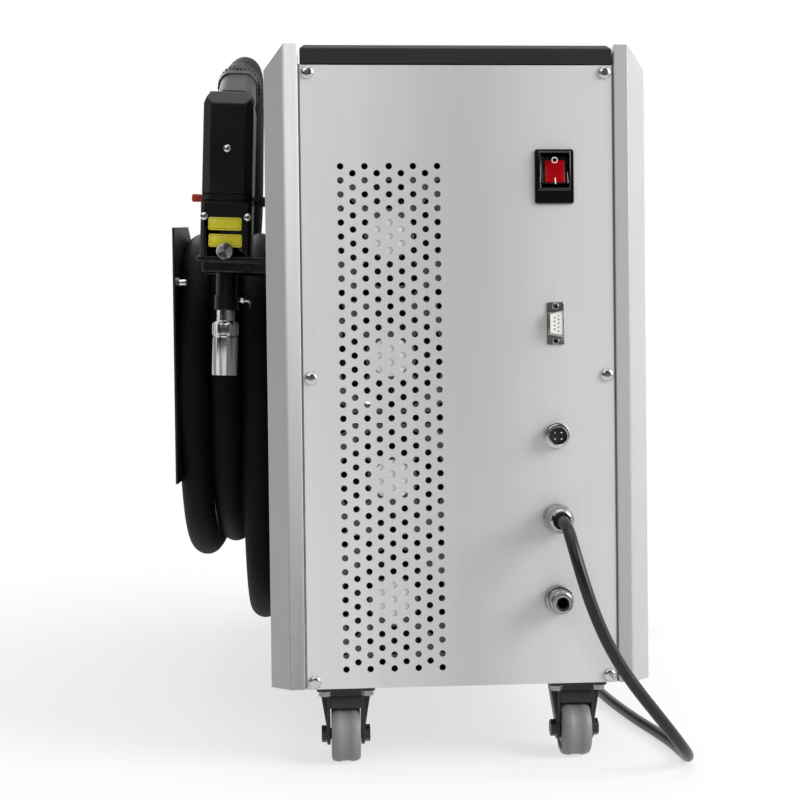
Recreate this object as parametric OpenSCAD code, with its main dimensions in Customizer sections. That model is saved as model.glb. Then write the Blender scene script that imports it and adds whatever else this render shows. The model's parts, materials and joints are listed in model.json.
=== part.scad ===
// Laser welding machine: a wheeled cabinet with a hand torch hung on its left side.
// The rear panel faces -Y, the control side faces +Y, the floor is z = 0.

/* [Cabinet] */
// Width over both side panels
cabinet_w = 276; // [240:1:340]
// Depth from the rear strips to the front strips
cabinet_d = 640; // [600:5:720]
// Height of the cabinet alone, without the castors
cabinet_h = 460.5; // [440:0.5:520]
// Height of the underside above the floor
floor_gap = 58; // [54:0.5:70]
// Thickness of the bent sheet
sheet = 1.5; // [1:0.1:2.5]
// Thickness of the tray-shaped side panels
side_t = 24.5; // [20:0.5:32]
// Gap between a side panel and what lies between the two
side_gap = 1.5; // [1:0.1:3]
// Width of the bevel on the outer edges of a side panel, seen from behind
bevel_w = 14.5; // [8:0.5:18]
// Depth of the bevel on the upright edges
bevel_d = 12; // [6:0.5:20]
// Height of the bevel on the top edge
bevel_h = 16.5; // [8:0.5:24]
// How far the rear and front panels sit behind the side panels' strips
panel_inset = 1.5; // [0.5:0.1:4]
// Height of the black top cover
lid_h = 14; // [10:0.5:24]
// Depth of the sloping control side
slope_run = 170; // [140:1:220]
// Height of the sloping control side
slope_drop = 138.5; // [100:0.5:180]
// Thickness of the base plate
base_t = 2.5; // [2:0.1:4]

/* [Panel screws] */
// Distance of the rear panel's screws from its edges
screw_edge = 5.2; // [4.8:0.1:8]
// Head diameter
panel_head_d = 9.3; // [7:0.1:9.5]

/* [Ventilation] */
// Distance between holes in one column
hole_pitch = 10; // [9:0.5:14]
// Hole diameter
hole_d = 4.7; // [3:0.1:6]
// Number of columns, each second one a half pitch lower
hole_columns = 9; // [5:2:11]
// Number of holes in a full column
hole_rows = 37; // [11:1:37]
// Gap between the fans and the corner posts beside them
fan_side_gap = 4.1; // [1:0.1:8]
// Middle of the perforation above the underside
vent_up = 193.7; // [190:0.1:240]

/* [Fans] */
// Side of a fan frame
fan_size = 80; // [70:1:84]
// Depth of a fan frame
fan_depth = 25; // [20:1:32]
// Distance between fans
fan_pitch = 88; // [85:0.5:92]
// Number of fans, one above another
fan_count = 4; // [4:1:4]
// Bore of a fan frame
fan_bore = 76; // [66:1:78]
// Diameter of the motor mount in the middle
motor_d = 36; // [30:1:40]
// Rotor hub diameter
hub_d = 34; // [28:1:40]
// Number of blades
blade_count = 7; // [5:1:9]
// Blade angle to the plane of the fan
blade_tilt = 38; // [25:1:50]

/* [Rear fittings] */
// The fittings' common line, in from the rear panel's edge
fitting_in = 42.5; // [32:0.5:50]
// Height of the power switch's middle above the floor
switch_z = 423.7; // [400:0.1:460]
// Height of the data connector
data_z = 318.2; // [290:0.1:350]
// Height of the signal socket
signal_z = 237.6; // [215:0.1:260]
// Height of the cord gland
gland_z = 177.8; // [160:0.1:200]
// Height of the gas inlet
gas_z = 119.2; // [100:0.1:140]

/* [Power switch] */
// Width of the bezel's flange
switch_w = 28.4; // [24:0.1:34]
// Height of the bezel's flange
switch_h = 39.2; // [34:0.1:46]
// Width of the raised frame
switch_frame_w = 23.2; // [20:0.1:24]
// Height of the raised frame
switch_frame_h = 27.7; // [24:0.1:30]
// Rocker width
rocker_w = 19.4; // [14:0.1:19.6]
// Rocker height
rocker_h = 19.6; // [16:0.1:19.8]

/* [Data connector] */
// Length of the flange
data_flange_l = 30.8; // [30:0.1:32]
// Width of the flange
data_flange_w = 12.6; // [12:0.1:14]
// Distance between the two screw holes
data_hole_span = 25; // [24.8:0.1:25.2]
// Diameter of the screw holes
data_hole_d = 2.5; // [2.2:0.1:3]

/* [Signal socket] */
// Thread diameter
signal_thread_d = 16; // [15:0.5:17]
// Diameter of the nut ring
signal_nut_d = 19; // [18:0.5:22]
// How far the thread stands out from the nut ring
signal_thread_l = 6; // [4:0.5:9]

/* [Cord gland] */
// Diameter of the gland's round nut
gland_d = 21.4; // [18:0.1:24]
// Length of the gland outside the panel
gland_l = 19.5; // [16:0.5:20.5]
// Diameter of the gland's mouth
gland_mouth_d = 13.6; // [12:0.1:15]

/* [Gas inlet] */
// Diameter of the largest ring
gas_d = 21.4; // [18:0.1:24]
// How far the inlet stands out from the rear panel
gas_reach = 21.5; // [18:0.1:26]
// Bore that takes the gas tube
gas_bore_d = 8.1; // [6:0.1:10]
// Depth of the bore
gas_bore_l = 20; // [14:0.5:24]

/* [Castors] */
// Wheel diameter
wheel_d = 40; // [36:1:44]
// Wheel width
wheel_w = 21; // [18:0.5:24]
// Axle diameter
axle_d = 8; // [6:0.5:10]
// Side of the mounting plate
plate_w = 42; // [38:0.5:46]
// Castors' distance from the cabinet's sides
castor_in = 53.5; // [50:0.5:58]
// Rear castors' distance from the rear strips
rear_castor_y = 25; // [24:0.5:40]
// Front castors' distance from the front strips
front_castor_y = 50; // [46:0.5:60]
// How far a swivel castor's wheel trails its pivot
trail = 16; // [10:0.5:20]
// Swivel race diameter
race_d = 30; // [24:0.5:36]

/* [Torch] */
// Distance of the torch's axis outside the left side panel
torch_out = 35; // [30:0.5:40]
// Depth of the torch's axis from the rear strips
torch_y = 133; // [120:1:150]
// Height of the shelf that the torch rests on
rest_z = 377.3; // [340:0.1:400]
// How far the hung torch leans towards the cabinet, in degrees
torch_lean = 2; // [0:0.5:4]
// Width of the lens block
block_w = 40; // [36:0.5:46]
// Depth of the lens block in front of the axis
block_front = 23; // [20:0.5:26]
// Depth of the lens block behind the axis
block_back = 21; // [18:0.5:26]
// Height of the lens block
block_h = 42.5; // [38:0.5:50]
// Height of the housing above the lens block
housing_h = 88.5; // [70:0.5:110]
// Width of the housing
housing_w = 39.4; // [36:0.1:46]
// Depth of the housing behind the axis
housing_back = 39; // [32:0.5:50]
// Chamfer on the housing's upright front edges
housing_chamfer = 6.5; // [3:0.5:9]
// Height of the bevel at the housing's top front edge
housing_bevel_h = 11; // [5:0.5:16]
// Tube diameter between block and clamp ring
tube_d = 16.5; // [14:0.5:20]
// Clamp ring diameter
ring_d = 18.6; // [18.5:0.1:24]
// Clamp ring height
ring_h = 11.8; // [8:0.5:14]
// Height of the clamp ring's middle below the shelf
ring_down = 35.4; // [30:0.1:38]
// Nozzle sleeve diameter
nozzle_d = 20.6; // [18:0.1:24]
// Nozzle sleeve length
nozzle_l = 32; // [25:0.5:40]
// Height of the knurled collar over the sleeve
collar_h = 11.3; // [8:0.1:16]
// Diameter of the knurled collar
collar_d = 21.4; // [19:0.1:26]
// Nozzle neck diameter
neck_d = 14.8; // [14.5:0.1:16]
// Nozzle neck length
neck_l = 9.4; // [6:0.1:14]
// Inner diameter of the nozzle sleeve
nozzle_inner_d = 12; // [9:0.1:14]
// Lever length, across
lever_l = 9; // [8:0.5:20]
// Height of the lens drawer
drawer_h = 5; // [4:0.1:6]
// Width of the lens drawer
drawer_w = 26; // [20:0.5:30]
// Depth of the lens drawer
drawer_l = 36; // [30:0.5:40]
// Diameter of the lens seat in the drawer
lens_d = 18; // [14:0.5:20]
// Diameter of the drawer's knob
knob_d = 13.4; // [10:0.1:16]
// Length of the drawer's knob
knob_l = 8; // [6:0.5:12]
// Push button diameter
button_d = 6.2; // [5:0.1:8]
// Push button travel
button_travel = 2; // [1:0.1:3]
// Grip's angle over the level
grip_tilt = 28; // [20:1:35]
// Height at which the grip's axis starts over the shelf
grip_up = 109; // [90:0.5:110]
// Depth at which the grip's axis starts behind the torch's axis
grip_start = 26; // [20:0.5:34]
// Length of the grip along its axis
grip_l = 108; // [95:1:120]
// Width of the grip
grip_w = 31; // [26:0.5:36]
// Thickness of the grip
grip_t = 34; // [30:0.5:42]
// Diameter of the hose nut at the grip's end
hose_nut_d = 38; // [34:0.5:42]
// Length of the hose nut
hose_nut_l = 16; // [12:0.5:22]
// Length of the tapered strain relief on the hose
relief_l = 22; // [20:0.5:60]
// Diameter of the strain relief at the nut
relief_d = 32; // [29:0.5:36]
// Length of the trigger
trigger_l = 34; // [26:0.5:40]
// How far the trigger stands out from the grip
trigger_out = 9; // [6:0.5:12]
// Trigger travel in degrees
trigger_turn = 8; // [4:0.5:10]

/* [Torch holder] */
// Thickness of the shelf that the torch stands on
rest_t = 4.2; // [3:0.1:6]
// Thickness of the bracket under the shelf
arm_t = 8; // [6:0.5:12]
// How far the wall plate reaches below the shelf
holder_down = 42; // [30:1:60]
// How far the wall plate reaches above the shelf
holder_up = 52; // [30:1:60]
// Height of the stop that the torch's block leans against, over the shelf
stop_up = 50; // [46:0.5:54]

/* [Hose rack] */
// How far the rack's outer face lies outside the side panel
rack_reach = 83; // [83:0.5:95]
// Radius of the saddle's back
saddle_r = 300; // [240:1:400]
// Half length of the saddle
saddle_half = 60; // [50:1:80]
// Near edge of the rack's plate from the rear strips
rack_near_y = 180; // [175:0.5:200]
// Far edge of the rack's plate from the rear strips
rack_far_y = 470; // [450:1:500]
// Lower edge of the rack's plate above the floor
rack_low_z = 193; // [180:0.5:220]
// Height of the rack's plate at its near edge
rack_near_z = 407.6; // [400:0.1:420]
// Height of the rack's plate at its peak
rack_peak_z = 422; // [415:0.1:430]
// Depth of the plate's peak from the rear strips
rack_peak_y = 315; // [300:1:330]
// Height of the rack's plate at its far edge
rack_far_z = 376; // [360:0.5:400]

/* [Hose] */
// Hose diameter
hose_d = 25; // [22:0.5:25]
// Distance between neighbouring turns
hose_pitch = 26.5; // [26:0.1:28]
// Distance of the first turn's axis from the side panel
hose_lane = 14; // [13.5:0.1:15]
// Depth of the turns' middle from the rear strips
coil_y = 375; // [370:1:380]
// Half depth of a turn
coil_half_y = 185; // [180:1:190]
// Height of the turns' tops above the floor
coil_top_z = 405; // [400:0.5:410]
// Height of each turn's lowest point, from the panel outwards
coil_low_z = [66, 140, 127.7];
// Roundness of a turn: 2 is an ellipse, more is squarer
coil_power = 2.6; // [2:0.1:3]
// Number of turns
coil_turns = 2.5; // [2.5:1:2.5]

/* [Hose outlet] */
// Depth of the outlet from the front strips
outlet_in = 40; // [30:1:50]
// Height of the outlet's mouth above the floor
outlet_z = 190; // [180:1:200]
// Diameter of the outlet's boot
outlet_d = 28; // [27:0.5:30]
// Length of the boot below its mouth
outlet_l = 38; // [30:1:50]
// Side of the outlet's flange
outlet_flange = 52; // [44:1:60]

/* [Mains cord] */
// Cord diameter
cord_d = 8.5; // [7:0.5:10]
// Outer turn's radius
cord_coil_r = 56; // [54:1:60]
// Distance between turns in one layer
cord_pitch = 9; // [9:0.1:10]
// Distance between layers
cord_layer = 9; // [9:0.1:11]
// Turns in each of the two layers
cord_layer_turns = 2; // [2:1:2]
// Plug diameter
plug_d = 37; // [34:0.5:40]
// Plug body length
plug_l = 38; // [30:0.5:45]
// Length of the tapered end on the cord
plug_relief_l = 28; // [20:0.5:60]

/* [Front panel] */
// Width of one air slot
slot_l = 62; // [40:1:80]
// Height of one air slot
slot_h = 4; // [3:0.5:6]
// Distance between air slots
slot_pitch = 11; // [9:0.5:16]
// Number of air slots in each of the two rows
slot_count = 14; // [6:1:16]
// Height of the lowest air slot above the underside
slot_up = 60; // [40:1:80]
// Distance of each row's middle from the cabinet's middle
slot_x = 46; // [44:1:60]

/* [Controls] */
// Thickness of the sloping black fascia
fascia_t = 3; // [2:0.1:5]
// Width of the touch screen
screen_w = 132; // [100:1:150]
// Height of the touch screen
screen_h = 84; // [70:1:100]
// Distance of the screen's middle from the slope's lower edge
screen_up = 148; // [140:1:156]
// Distance of the switches' line from the slope's lower edge
controls_up = 52; // [40:1:60]
// Emergency stop's distance from the middle
stop_x = -62; // [-75:1:-50]
// Diameter of the emergency stop's head
stop_head_d = 40; // [34:1:44]
// Height of the emergency stop's head
stop_head_h = 14; // [10:0.5:18]
// Emergency stop's travel
stop_travel = 4; // [3:0.5:5]
// Key switch's distance from the middle
key_x = 62; // [50:1:75]
// Diameter of the key switch's barrel
key_barrel_d = 22; // [18:0.5:24]
// Height of the key switch's barrel
key_barrel_h = 7; // [4:0.5:10]
// Width of the key's bow
key_bow_w = 20; // [16:0.5:24]
// Height of the key's bow
key_bow_h = 18; // [14:0.5:24]
// Diameter of the start button
start_d = 17; // [14:0.5:20]
// Start button travel
start_travel = 2; // [1:0.1:2.5]

/* [Inside] */
// Width of the laser module's heat sink, as a share of the cabinet's
sink_share = 0.3; // [0.25:0.01:0.32]
// Height of the heat sink
sink_h = 352; // [300:1:370]
// Length of the heat sink, as a share of the cabinet's depth
sink_l_share = 0.59; // [0.5:0.01:0.6]
// Thickness of the heat sink's spine
sink_spine = 12; // [8:0.5:16]
// Thickness of a fin
fin_t = 3; // [2:0.1:4]
// Number of fins
fin_count = 20; // [10:1:24]
// Width of the laser source box
source_w = 52; // [40:1:60]
// Height of the laser source box
source_h = 190; // [150:1:240]
// Length of the laser source box
source_l = 300; // [250:5:350]
// Power supply width, as a share of the cabinet's
supply_share = 0.28; // [0.22:0.01:0.28]
// Power supply height
supply_h = 50; // [40:1:60]
// Power supply length
supply_l = 215; // [180:5:240]
// Board length
board_l = 160; // [120:5:200]
// Board height
board_h = 110; // [90:5:130]
// Board thickness
board_t = 1.6; // [1:0.1:2]
// Gas valve's side
valve_w = 26; // [20:1:32]
// Gas valve's length
valve_l = 44; // [36:1:60]

/* [Hidden] */

// One overrun for every cut that passes a face
over = 1;
// Gap between parts that touch on curved faces in different bodies
skin = 0.3;
// Small sizes that several pieces share
lid_gap = 1;
lid_chamfer = 3;
base_edge_h = 8;
post_w = 20;
post_t = 2;
screw_play = 0.15;
cross_w = 1.2;
cross_l = 5;
cross_h = 1.2;
panel_screw_d = 4;
panel_screw_l = 7;
panel_head_h = 2.6;
tread_r = 3.5;
axle_play = 0.05;
plate_t = 2.5;
plate_hole_span = 31;
plate_bolt_d = 5;
plate_head_d = 9;
plate_head_h = 4;
fork_t = 2.5;
fork_gap = 0.8;
race_h = 4;
kingpin_d = 8;

top_z = floor_gap + cabinet_h;
lid_z = top_z - lid_h;
half_w = cabinet_w / 2;
inner_half = half_w - side_t;
panel_half = inner_half - side_gap;
vent_x = post_w + fan_side_gap + fan_size / 2 - inner_half;
fitting_x = panel_half - fitting_in;
castor_x = half_w - castor_in;
panel_top = lid_z - lid_gap;
panel_h = panel_top - floor_gap;
panel_back = panel_inset + sheet;
slope_z = top_z - slope_drop;
slope_y = cabinet_d - slope_run;
slope_l = norm([slope_run, slope_drop]);
slope_angle = atan2(slope_drop, slope_run);

// The origin is the bottom centre of the machine without its cord and hose
origin_x = rack_reach / 2;
origin_y = (cabinet_d - gas_reach + panel_inset) / 2;

function unit(v) = v / norm(v);
function outward(a, b) = unit([b.y - a.y, a.x - b.x]);
// An outline that runs anticlockwise, with every edge moved in by d
function inset_outline(points, d) = [
    for (i = [0 : len(points) - 1])
        let (
            count = len(points),
            here = points[i],
            n1 = outward(points[(i + count - 1) % count], here),
            n2 = outward(here, points[(i + 1) % count])
        )
        here - d * (n1 + n2) / (1 + n1 * n2)
];

module placed() {
    translate([origin_x, -origin_y, 0]) children();
}

// Stands an XY outline up in the XZ plane, from y towards +Y for length l
module along_y(y, l) {
    translate([0, y + l, 0]) rotate([90, 0, 0]) linear_extrude(l) children();
}

// Turns a YZ outline to run along X, from x for length l
module along_x(x, l) {
    translate([x, 0, 0]) rotate([90, 0, 90]) linear_extrude(l) children();
}

// A cylinder along Y from y towards +Y
module rod_y(y, l, d) {
    translate([0, y, 0]) rotate([-90, 0, 0]) cylinder(h = l, d = d, $fn = 48);
}

// A cylinder along X from x towards +X
module rod_x(x, l, d) {
    translate([x, 0, 0]) rotate([0, 90, 0]) cylinder(h = l, d = d, $fn = 48);
}

module box(low, high) {
    translate(low) cube(high - low);
}

module rounded_square(w, h, r) {
    square([w - 2 * r, h], center = true);
    square([w, h - 2 * r], center = true);
    for (x = [-1, 1], y = [-1, 1])
        translate([x * (w / 2 - r), y * (h / 2 - r)]) circle(r, $fn = 24);
}

// Pan head screw with a cross, its seat at y = 0, its head towards -Y
module pan_screw(head_d, head_h, shank_d, shank_l) {
    difference() {
        rotate([90, 0, 0]) rotate_extrude($fn = 32) polygon([
            [0, 0], [head_d / 2, 0], [head_d / 2, head_h * 0.4],
            [head_d * 0.4, head_h * 0.8], [head_d * 0.25, head_h], [0, head_h]
        ]);
        for (turn = [0, 90])
            rotate([0, turn, 0]) box(
                [-cross_l / 2 * head_d / panel_head_d, -head_h - over, -cross_w / 2],
                [cross_l / 2 * head_d / panel_head_d, cross_h - head_h, cross_w / 2]
            );
    }
    rod_y(0, shank_l, shank_d);
}

side_outline = [
    [0, floor_gap], [cabinet_d, floor_gap], [cabinet_d, slope_z], [slope_y, top_z], [0, top_z]
];
function plan_outline(mouth) = [
    [mouth, 0], [half_w - bevel_w, 0], [half_w, bevel_d], [half_w, cabinet_d - bevel_d],
    [half_w - bevel_w, cabinet_d], [mouth, cabinet_d]
];
function end_outline(mouth) = [
    [mouth, floor_gap], [half_w, floor_gap], [half_w, top_z - bevel_h],
    [half_w - bevel_w, top_z], [mouth, top_z]
];

// Local frame on the control slope: y = 0 at its lower edge, -y uphill, z outwards
module on_slope() {
    translate([0, cabinet_d, slope_z]) rotate([-slope_angle, 0, 0]) children();
}

// The solid form of the right side panel with every face moved in by d
module side_form(d, mouth) {
    difference() {
        intersection() {
            along_x(0, half_w) polygon(inset_outline(side_outline, d));
            linear_extrude(top_z) polygon(inset_outline(plan_outline(mouth), d));
            along_y(0, cabinet_d) polygon(inset_outline(end_outline(mouth), d));
        }
        on_slope() translate([half_w - bevel_w, 0, 0])
            rotate([0, atan2(bevel_h, bevel_w), 0])
            box([-bevel_w, -2 * slope_l, -d], [2 * bevel_w, slope_l, bevel_h]);
    }
}

// A hollow panel whose inner face is open but for a flange all round
side_flange = 16;
module side_panel() {
    difference() {
        side_form(0, inner_half);
        side_form(sheet, inner_half);
        along_x(inner_half - over, sheet + 2 * over)
            polygon(inset_outline(side_outline, side_flange));
    }
}

module right_side_panel() {
    color("gainsboro") placed() side_panel();
}

module left_side_panel() {
    color("gainsboro") placed() mirror([1, 0, 0]) side_panel();
}

module base_plate() {
    color("silver") placed() difference() {
        union() {
            box([-inner_half, panel_back, floor_gap],
                [inner_half, cabinet_d - panel_back, floor_gap + base_t]);
            for (x = [-inner_half, inner_half - sheet])
                box([x, panel_back + post_w, floor_gap],
                    [x + sheet, cabinet_d - panel_back - post_w, floor_gap + base_edge_h]);
        }
        for (at = castor_places(), x = [-1, 1], y = [-1, 1])
            translate([at.x + x * plate_hole_span / 2, at.y + y * plate_hole_span / 2,
                floor_gap - over])
                cylinder(h = base_t + 2 * over, d = plate_bolt_d + 2 * screw_play, $fn = 32);
    }
}

post_base = floor_gap + base_t;
module corner_post() {
    difference() {
        translate([0, 0, post_base]) linear_extrude(lid_z - post_base) difference() {
            square([post_w, post_w]);
            translate([0, post_t]) square([post_w - post_t, post_w]);
        }
        for (z = panel_screw_heights())
            translate([post_w - side_gap - screw_edge, -over, z])
                rod_y(0, post_t + 2 * over, panel_screw_d + 2 * screw_play);
    }
}

module corner_posts() {
    color("darkgray") placed() for (m = [0, 1]) mirror([m, 0, 0]) {
        translate([inner_half - post_w, panel_back, 0]) corner_post();
        translate([inner_half - post_w, cabinet_d - panel_back, 0])
            intersection() {
                mirror([0, 1, 0]) corner_post();
                box([0, -post_w, 0], [post_w, 0, slope_z - post_w]);
            }
    }
}

function panel_screw_heights() = [
    floor_gap + screw_edge, floor_gap + panel_h / 2, panel_top - screw_edge
];
function panel_screw_places() = [
    for (x = [-1, 1], z = panel_screw_heights()) [x * (panel_half - screw_edge), z]
];

module panel_screws() {
    color("lightgray") placed() for (at = panel_screw_places())
        translate([at.x, panel_inset, at.y])
            pan_screw(panel_head_d, panel_head_h, panel_screw_d, panel_screw_l);
}

hole_step = hole_pitch * cos(30);
module perforation() {
    for (c = [0 : hole_columns - 1]) {
        lower = c % 2;
        for (r = [0 : hole_rows - 1 - lower])
            translate([
                (c - (hole_columns - 1) / 2) * hole_step,
                (r - (hole_rows - 1 - lower) / 2) * hole_pitch
            ])
                circle(d = hole_d, $fn = 24);
    }
}

vent_z = floor_gap + vent_up;
module rear_panel() {
    color("lightsteelblue") placed() along_y(panel_inset, sheet) difference() {
        translate([-panel_half, floor_gap]) square([2 * panel_half, panel_h]);
        translate([vent_x, vent_z]) perforation();
        for (at = panel_screw_places())
            translate(at) circle(d = panel_screw_d + 2 * screw_play, $fn = 24);
        translate([fitting_x, switch_z + switch_frame_up])
            square([switch_frame_w, switch_frame_h], center = true);
        translate([fitting_x, data_z])
            square([data_mouth_w + 2 * screw_play, data_mouth_l + 2 * screw_play], center = true);
        for (z = [-1, 1])
            translate([fitting_x, data_z + z * data_hole_span / 2])
                circle(d = jack_d + 2 * screw_play, $fn = 24);
        translate([fitting_x, signal_z]) circle(d = signal_thread_d, $fn = 48);
        translate([fitting_x, gland_z]) circle(d = gland_shank_d, $fn = 48);
        translate([fitting_x, gas_z]) circle(d = gas_shank_d, $fn = 48);
    }
}

// The top cover is an inverted tray with a closed rear end
module top_cover() {
    outline = [
        [-panel_half, lid_z], [panel_half, lid_z], [panel_half, top_z - lid_chamfer],
        [panel_half - lid_chamfer, top_z], [lid_chamfer - panel_half, top_z],
        [-panel_half, top_z - lid_chamfer]
    ];
    color([0.13, 0.13, 0.14]) placed() difference() {
        along_y(panel_inset, slope_y - panel_inset) polygon(outline);
        translate([0, 0, -sheet]) along_y(panel_back, slope_y)
            polygon(inset_outline(outline, sheet));
        translate([0, panel_inset, top_z - lid_chamfer]) rotate([45, 0, 0])
            box([-half_w, -lid_h, 0], [half_w, lid_h, lid_h]);
    }
}

module slot_row(x) {
    for (i = [0 : slot_count - 1])
        translate([x, floor_gap + slot_up + i * slot_pitch]) {
            square([slot_l - slot_h, slot_h], center = true);
            for (s = [-1, 1]) translate([s * (slot_l - slot_h) / 2, 0]) circle(d = slot_h, $fn = 24);
        }
}

front_top = slope_z - sheet;
module front_panel() {
    color("lightsteelblue") placed()
        along_y(cabinet_d - panel_back, sheet) difference() {
            translate([-panel_half, floor_gap]) square([2 * panel_half, front_top - floor_gap]);
            slot_row(-slot_x);
            slot_row(slot_x);
        }
}

// Controls
fascia_inset = 1.5;
screen_t = 2.5;
screen_body_t = 18;
screen_lip = 4;
stop_stem_d = 22;
stop_stem_h = 8;
stop_collar_d = 30;
stop_collar_h = 3;
key_t = 2.2;
key_core_d = 12;
start_ring_d = 23;
start_ring_h = 3.5;
start_out = 3;
control_play = 0.3;
module control_fascia() {
    low = -fascia_inset - fascia_t;
    top = slope_l - (sheet - low * sin(slope_angle)) / cos(slope_angle);
    color([0.13, 0.13, 0.14]) placed() on_slope() {
        difference() {
            box([-panel_half, -top, low], [panel_half, -sheet, -fascia_inset]);
            translate([0, -screen_up, 0])
                box([screen_lip - screen_w / 2, screen_lip - screen_h / 2, low - over],
                    [screen_w / 2 - screen_lip, screen_h / 2 - screen_lip, over]);
            control_hole(stop_x, stop_stem_d);
            control_hole(key_x, key_core_d);
            control_hole(0, start_d);
        }
        control_collar(stop_x, stop_collar_d, stop_stem_d, stop_collar_h);
        control_collar(key_x, key_barrel_d, key_core_d, key_barrel_h);
        control_collar(0, start_ring_d, start_d, start_ring_h);
    }
}

module control_hole(x, d) {
    translate([x, -controls_up, -fascia_inset - fascia_t - over])
        cylinder(h = fascia_t + 2 * over, d = d + 2 * control_play, $fn = 48);
}

module control_collar(x, outer_d, inner_d, h) {
    translate([x, -controls_up, -fascia_inset]) difference() {
        cylinder(h = h, d = outer_d, $fn = 64);
        translate([0, 0, -over]) cylinder(h = h + 2 * over, d = inner_d + 2 * control_play, $fn = 48);
    }
}

module touch_screen() {
    fit = screen_lip + control_play;
    color([0.08, 0.09, 0.1]) placed() on_slope() translate([0, -screen_up, -fascia_inset]) {
        difference() {
            box([-screen_w / 2, -screen_h / 2, 0], [screen_w / 2, screen_h / 2, screen_t]);
            box([screen_lip - screen_w / 2, screen_lip - screen_h / 2, screen_t - screen_t / 3],
                [screen_w / 2 - screen_lip, screen_h / 2 - screen_lip, screen_t + over]);
        }
        box([fit - screen_w / 2, fit - screen_h / 2, -screen_body_t],
            [screen_w / 2 - fit, screen_h / 2 - fit, 0]);
    }
}

module emergency_stop() {
    color("firebrick") placed() on_slope()
        translate([stop_x, -controls_up, stop_collar_h - fascia_inset])
            rotate_extrude($fn = 64) polygon([
                [0, -stop_collar_h - fascia_t - stop_stem_h],
                [stop_stem_d / 2, -stop_collar_h - fascia_t - stop_stem_h],
                [stop_stem_d / 2, stop_stem_h], [stop_head_d / 2 - skin, stop_stem_h],
                [stop_head_d / 2, stop_stem_h + stop_head_h / 4],
                [stop_head_d / 2, stop_stem_h + stop_head_h / 2],
                [stop_head_d * 0.4, stop_stem_h + stop_head_h * 0.85],
                [stop_head_d / 4, stop_stem_h + stop_head_h], [0, stop_stem_h + stop_head_h]
            ]);
}

module key_switch() {
    core_top = key_barrel_h + key_t / 2;
    color("silver") placed() on_slope() translate([key_x, -controls_up, -fascia_inset]) {
        translate([0, 0, -fascia_t - key_barrel_h])
            cylinder(h = core_top + fascia_t + key_barrel_h, d = key_core_d, $fn = 48);
        translate([0, key_t / 2, core_top]) rotate([90, 0, 0]) linear_extrude(key_t) difference() {
            union() {
                translate([-key_core_d / 4, -over]) square([key_core_d / 2, key_bow_h / 2]);
                translate([0, key_bow_h / 2 + key_t]) scale([1, key_bow_h / key_bow_w])
                    circle(d = key_bow_w, $fn = 48);
            }
            translate([0, key_bow_h * 0.75]) circle(d = key_bow_w / 4, $fn = 24);
        }
    }
}

module start_button() {
    color("seagreen") placed() on_slope() translate([0, -controls_up, start_ring_h - fascia_inset])
        translate([0, 0, -start_ring_h - 2 * fascia_t])
            cylinder(h = start_ring_h + 2 * fascia_t + start_out, d = start_d, $fn = 48);
}

// Fans
fan_corner_r = 4;
fan_hole_span = 71.5;
fan_hole_d = 4.3;
motor_t = 3;
strut_w = 4;
fan_shaft_d = 4;
blade_t = 1.6;
blade_gap = 1.5;
function fan_height(i) = vent_z + ((fan_count - 1) / 2 - i) * fan_pitch;
module at_fan(i) {
    translate([vent_x, panel_back, fan_height(i)]) children();
}

module fan_frame() {
    difference() {
        along_y(0, fan_depth) difference() {
            rounded_square(fan_size, fan_size, fan_corner_r);
            circle(d = fan_bore, $fn = 72);
            for (x = [-1, 1], z = [-1, 1])
                translate([x, z] * fan_hole_span / 2) circle(d = fan_hole_d, $fn = 24);
        }
    }
    along_y(0, motor_t) intersection() {
        circle(d = fan_bore + sheet, $fn = 72);
        union() {
            circle(d = motor_d, $fn = 48);
            for (turn = [45, 135]) rotate(turn) square([fan_size, strut_w], center = true);
        }
    }
    rod_y(motor_t, fan_depth - 2 * motor_t, fan_shaft_d);
}

module fan_frames() {
    color([0.16, 0.16, 0.17]) placed() for (i = [0 : fan_count - 1]) at_fan(i) fan_frame();
}

rotor_l = fan_depth - 2 * motor_t - 2 * skin;
module fan_rotor(i) {
    blade_l = fan_bore / 2 - blade_gap;
    color([0.2, 0.2, 0.21]) placed() at_fan(i) translate([0, motor_t + skin, 0]) difference() {
        union() {
            rod_y(0, rotor_l, hub_d);
            intersection() {
                rod_y(0, rotor_l, 2 * blade_l);
                for (b = [0 : blade_count - 1]) rotate([0, b * 360 / blade_count, 0])
                    translate([0, rotor_l / 2, 0]) rotate([0, 0, blade_tilt])
                    box([-rotor_l, -blade_t / 2, hub_d / 4], [rotor_l, blade_t / 2, fan_bore]);
            }
        }
        rod_y(-over, rotor_l + 2 * over, fan_shaft_d + 2 * rocker_play);
    }
}

// Power switch
switch_flange_t = 2;
switch_frame_t = 4.5;
switch_frame_wall = 1.5;
switch_frame_up = 4.2;
switch_body_l = 24;
rocker_out = 7.8;
rocker_in = 5.2;
rocker_back = 3;
rocker_pin_d = 3;
rocker_play = 0.05;
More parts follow.
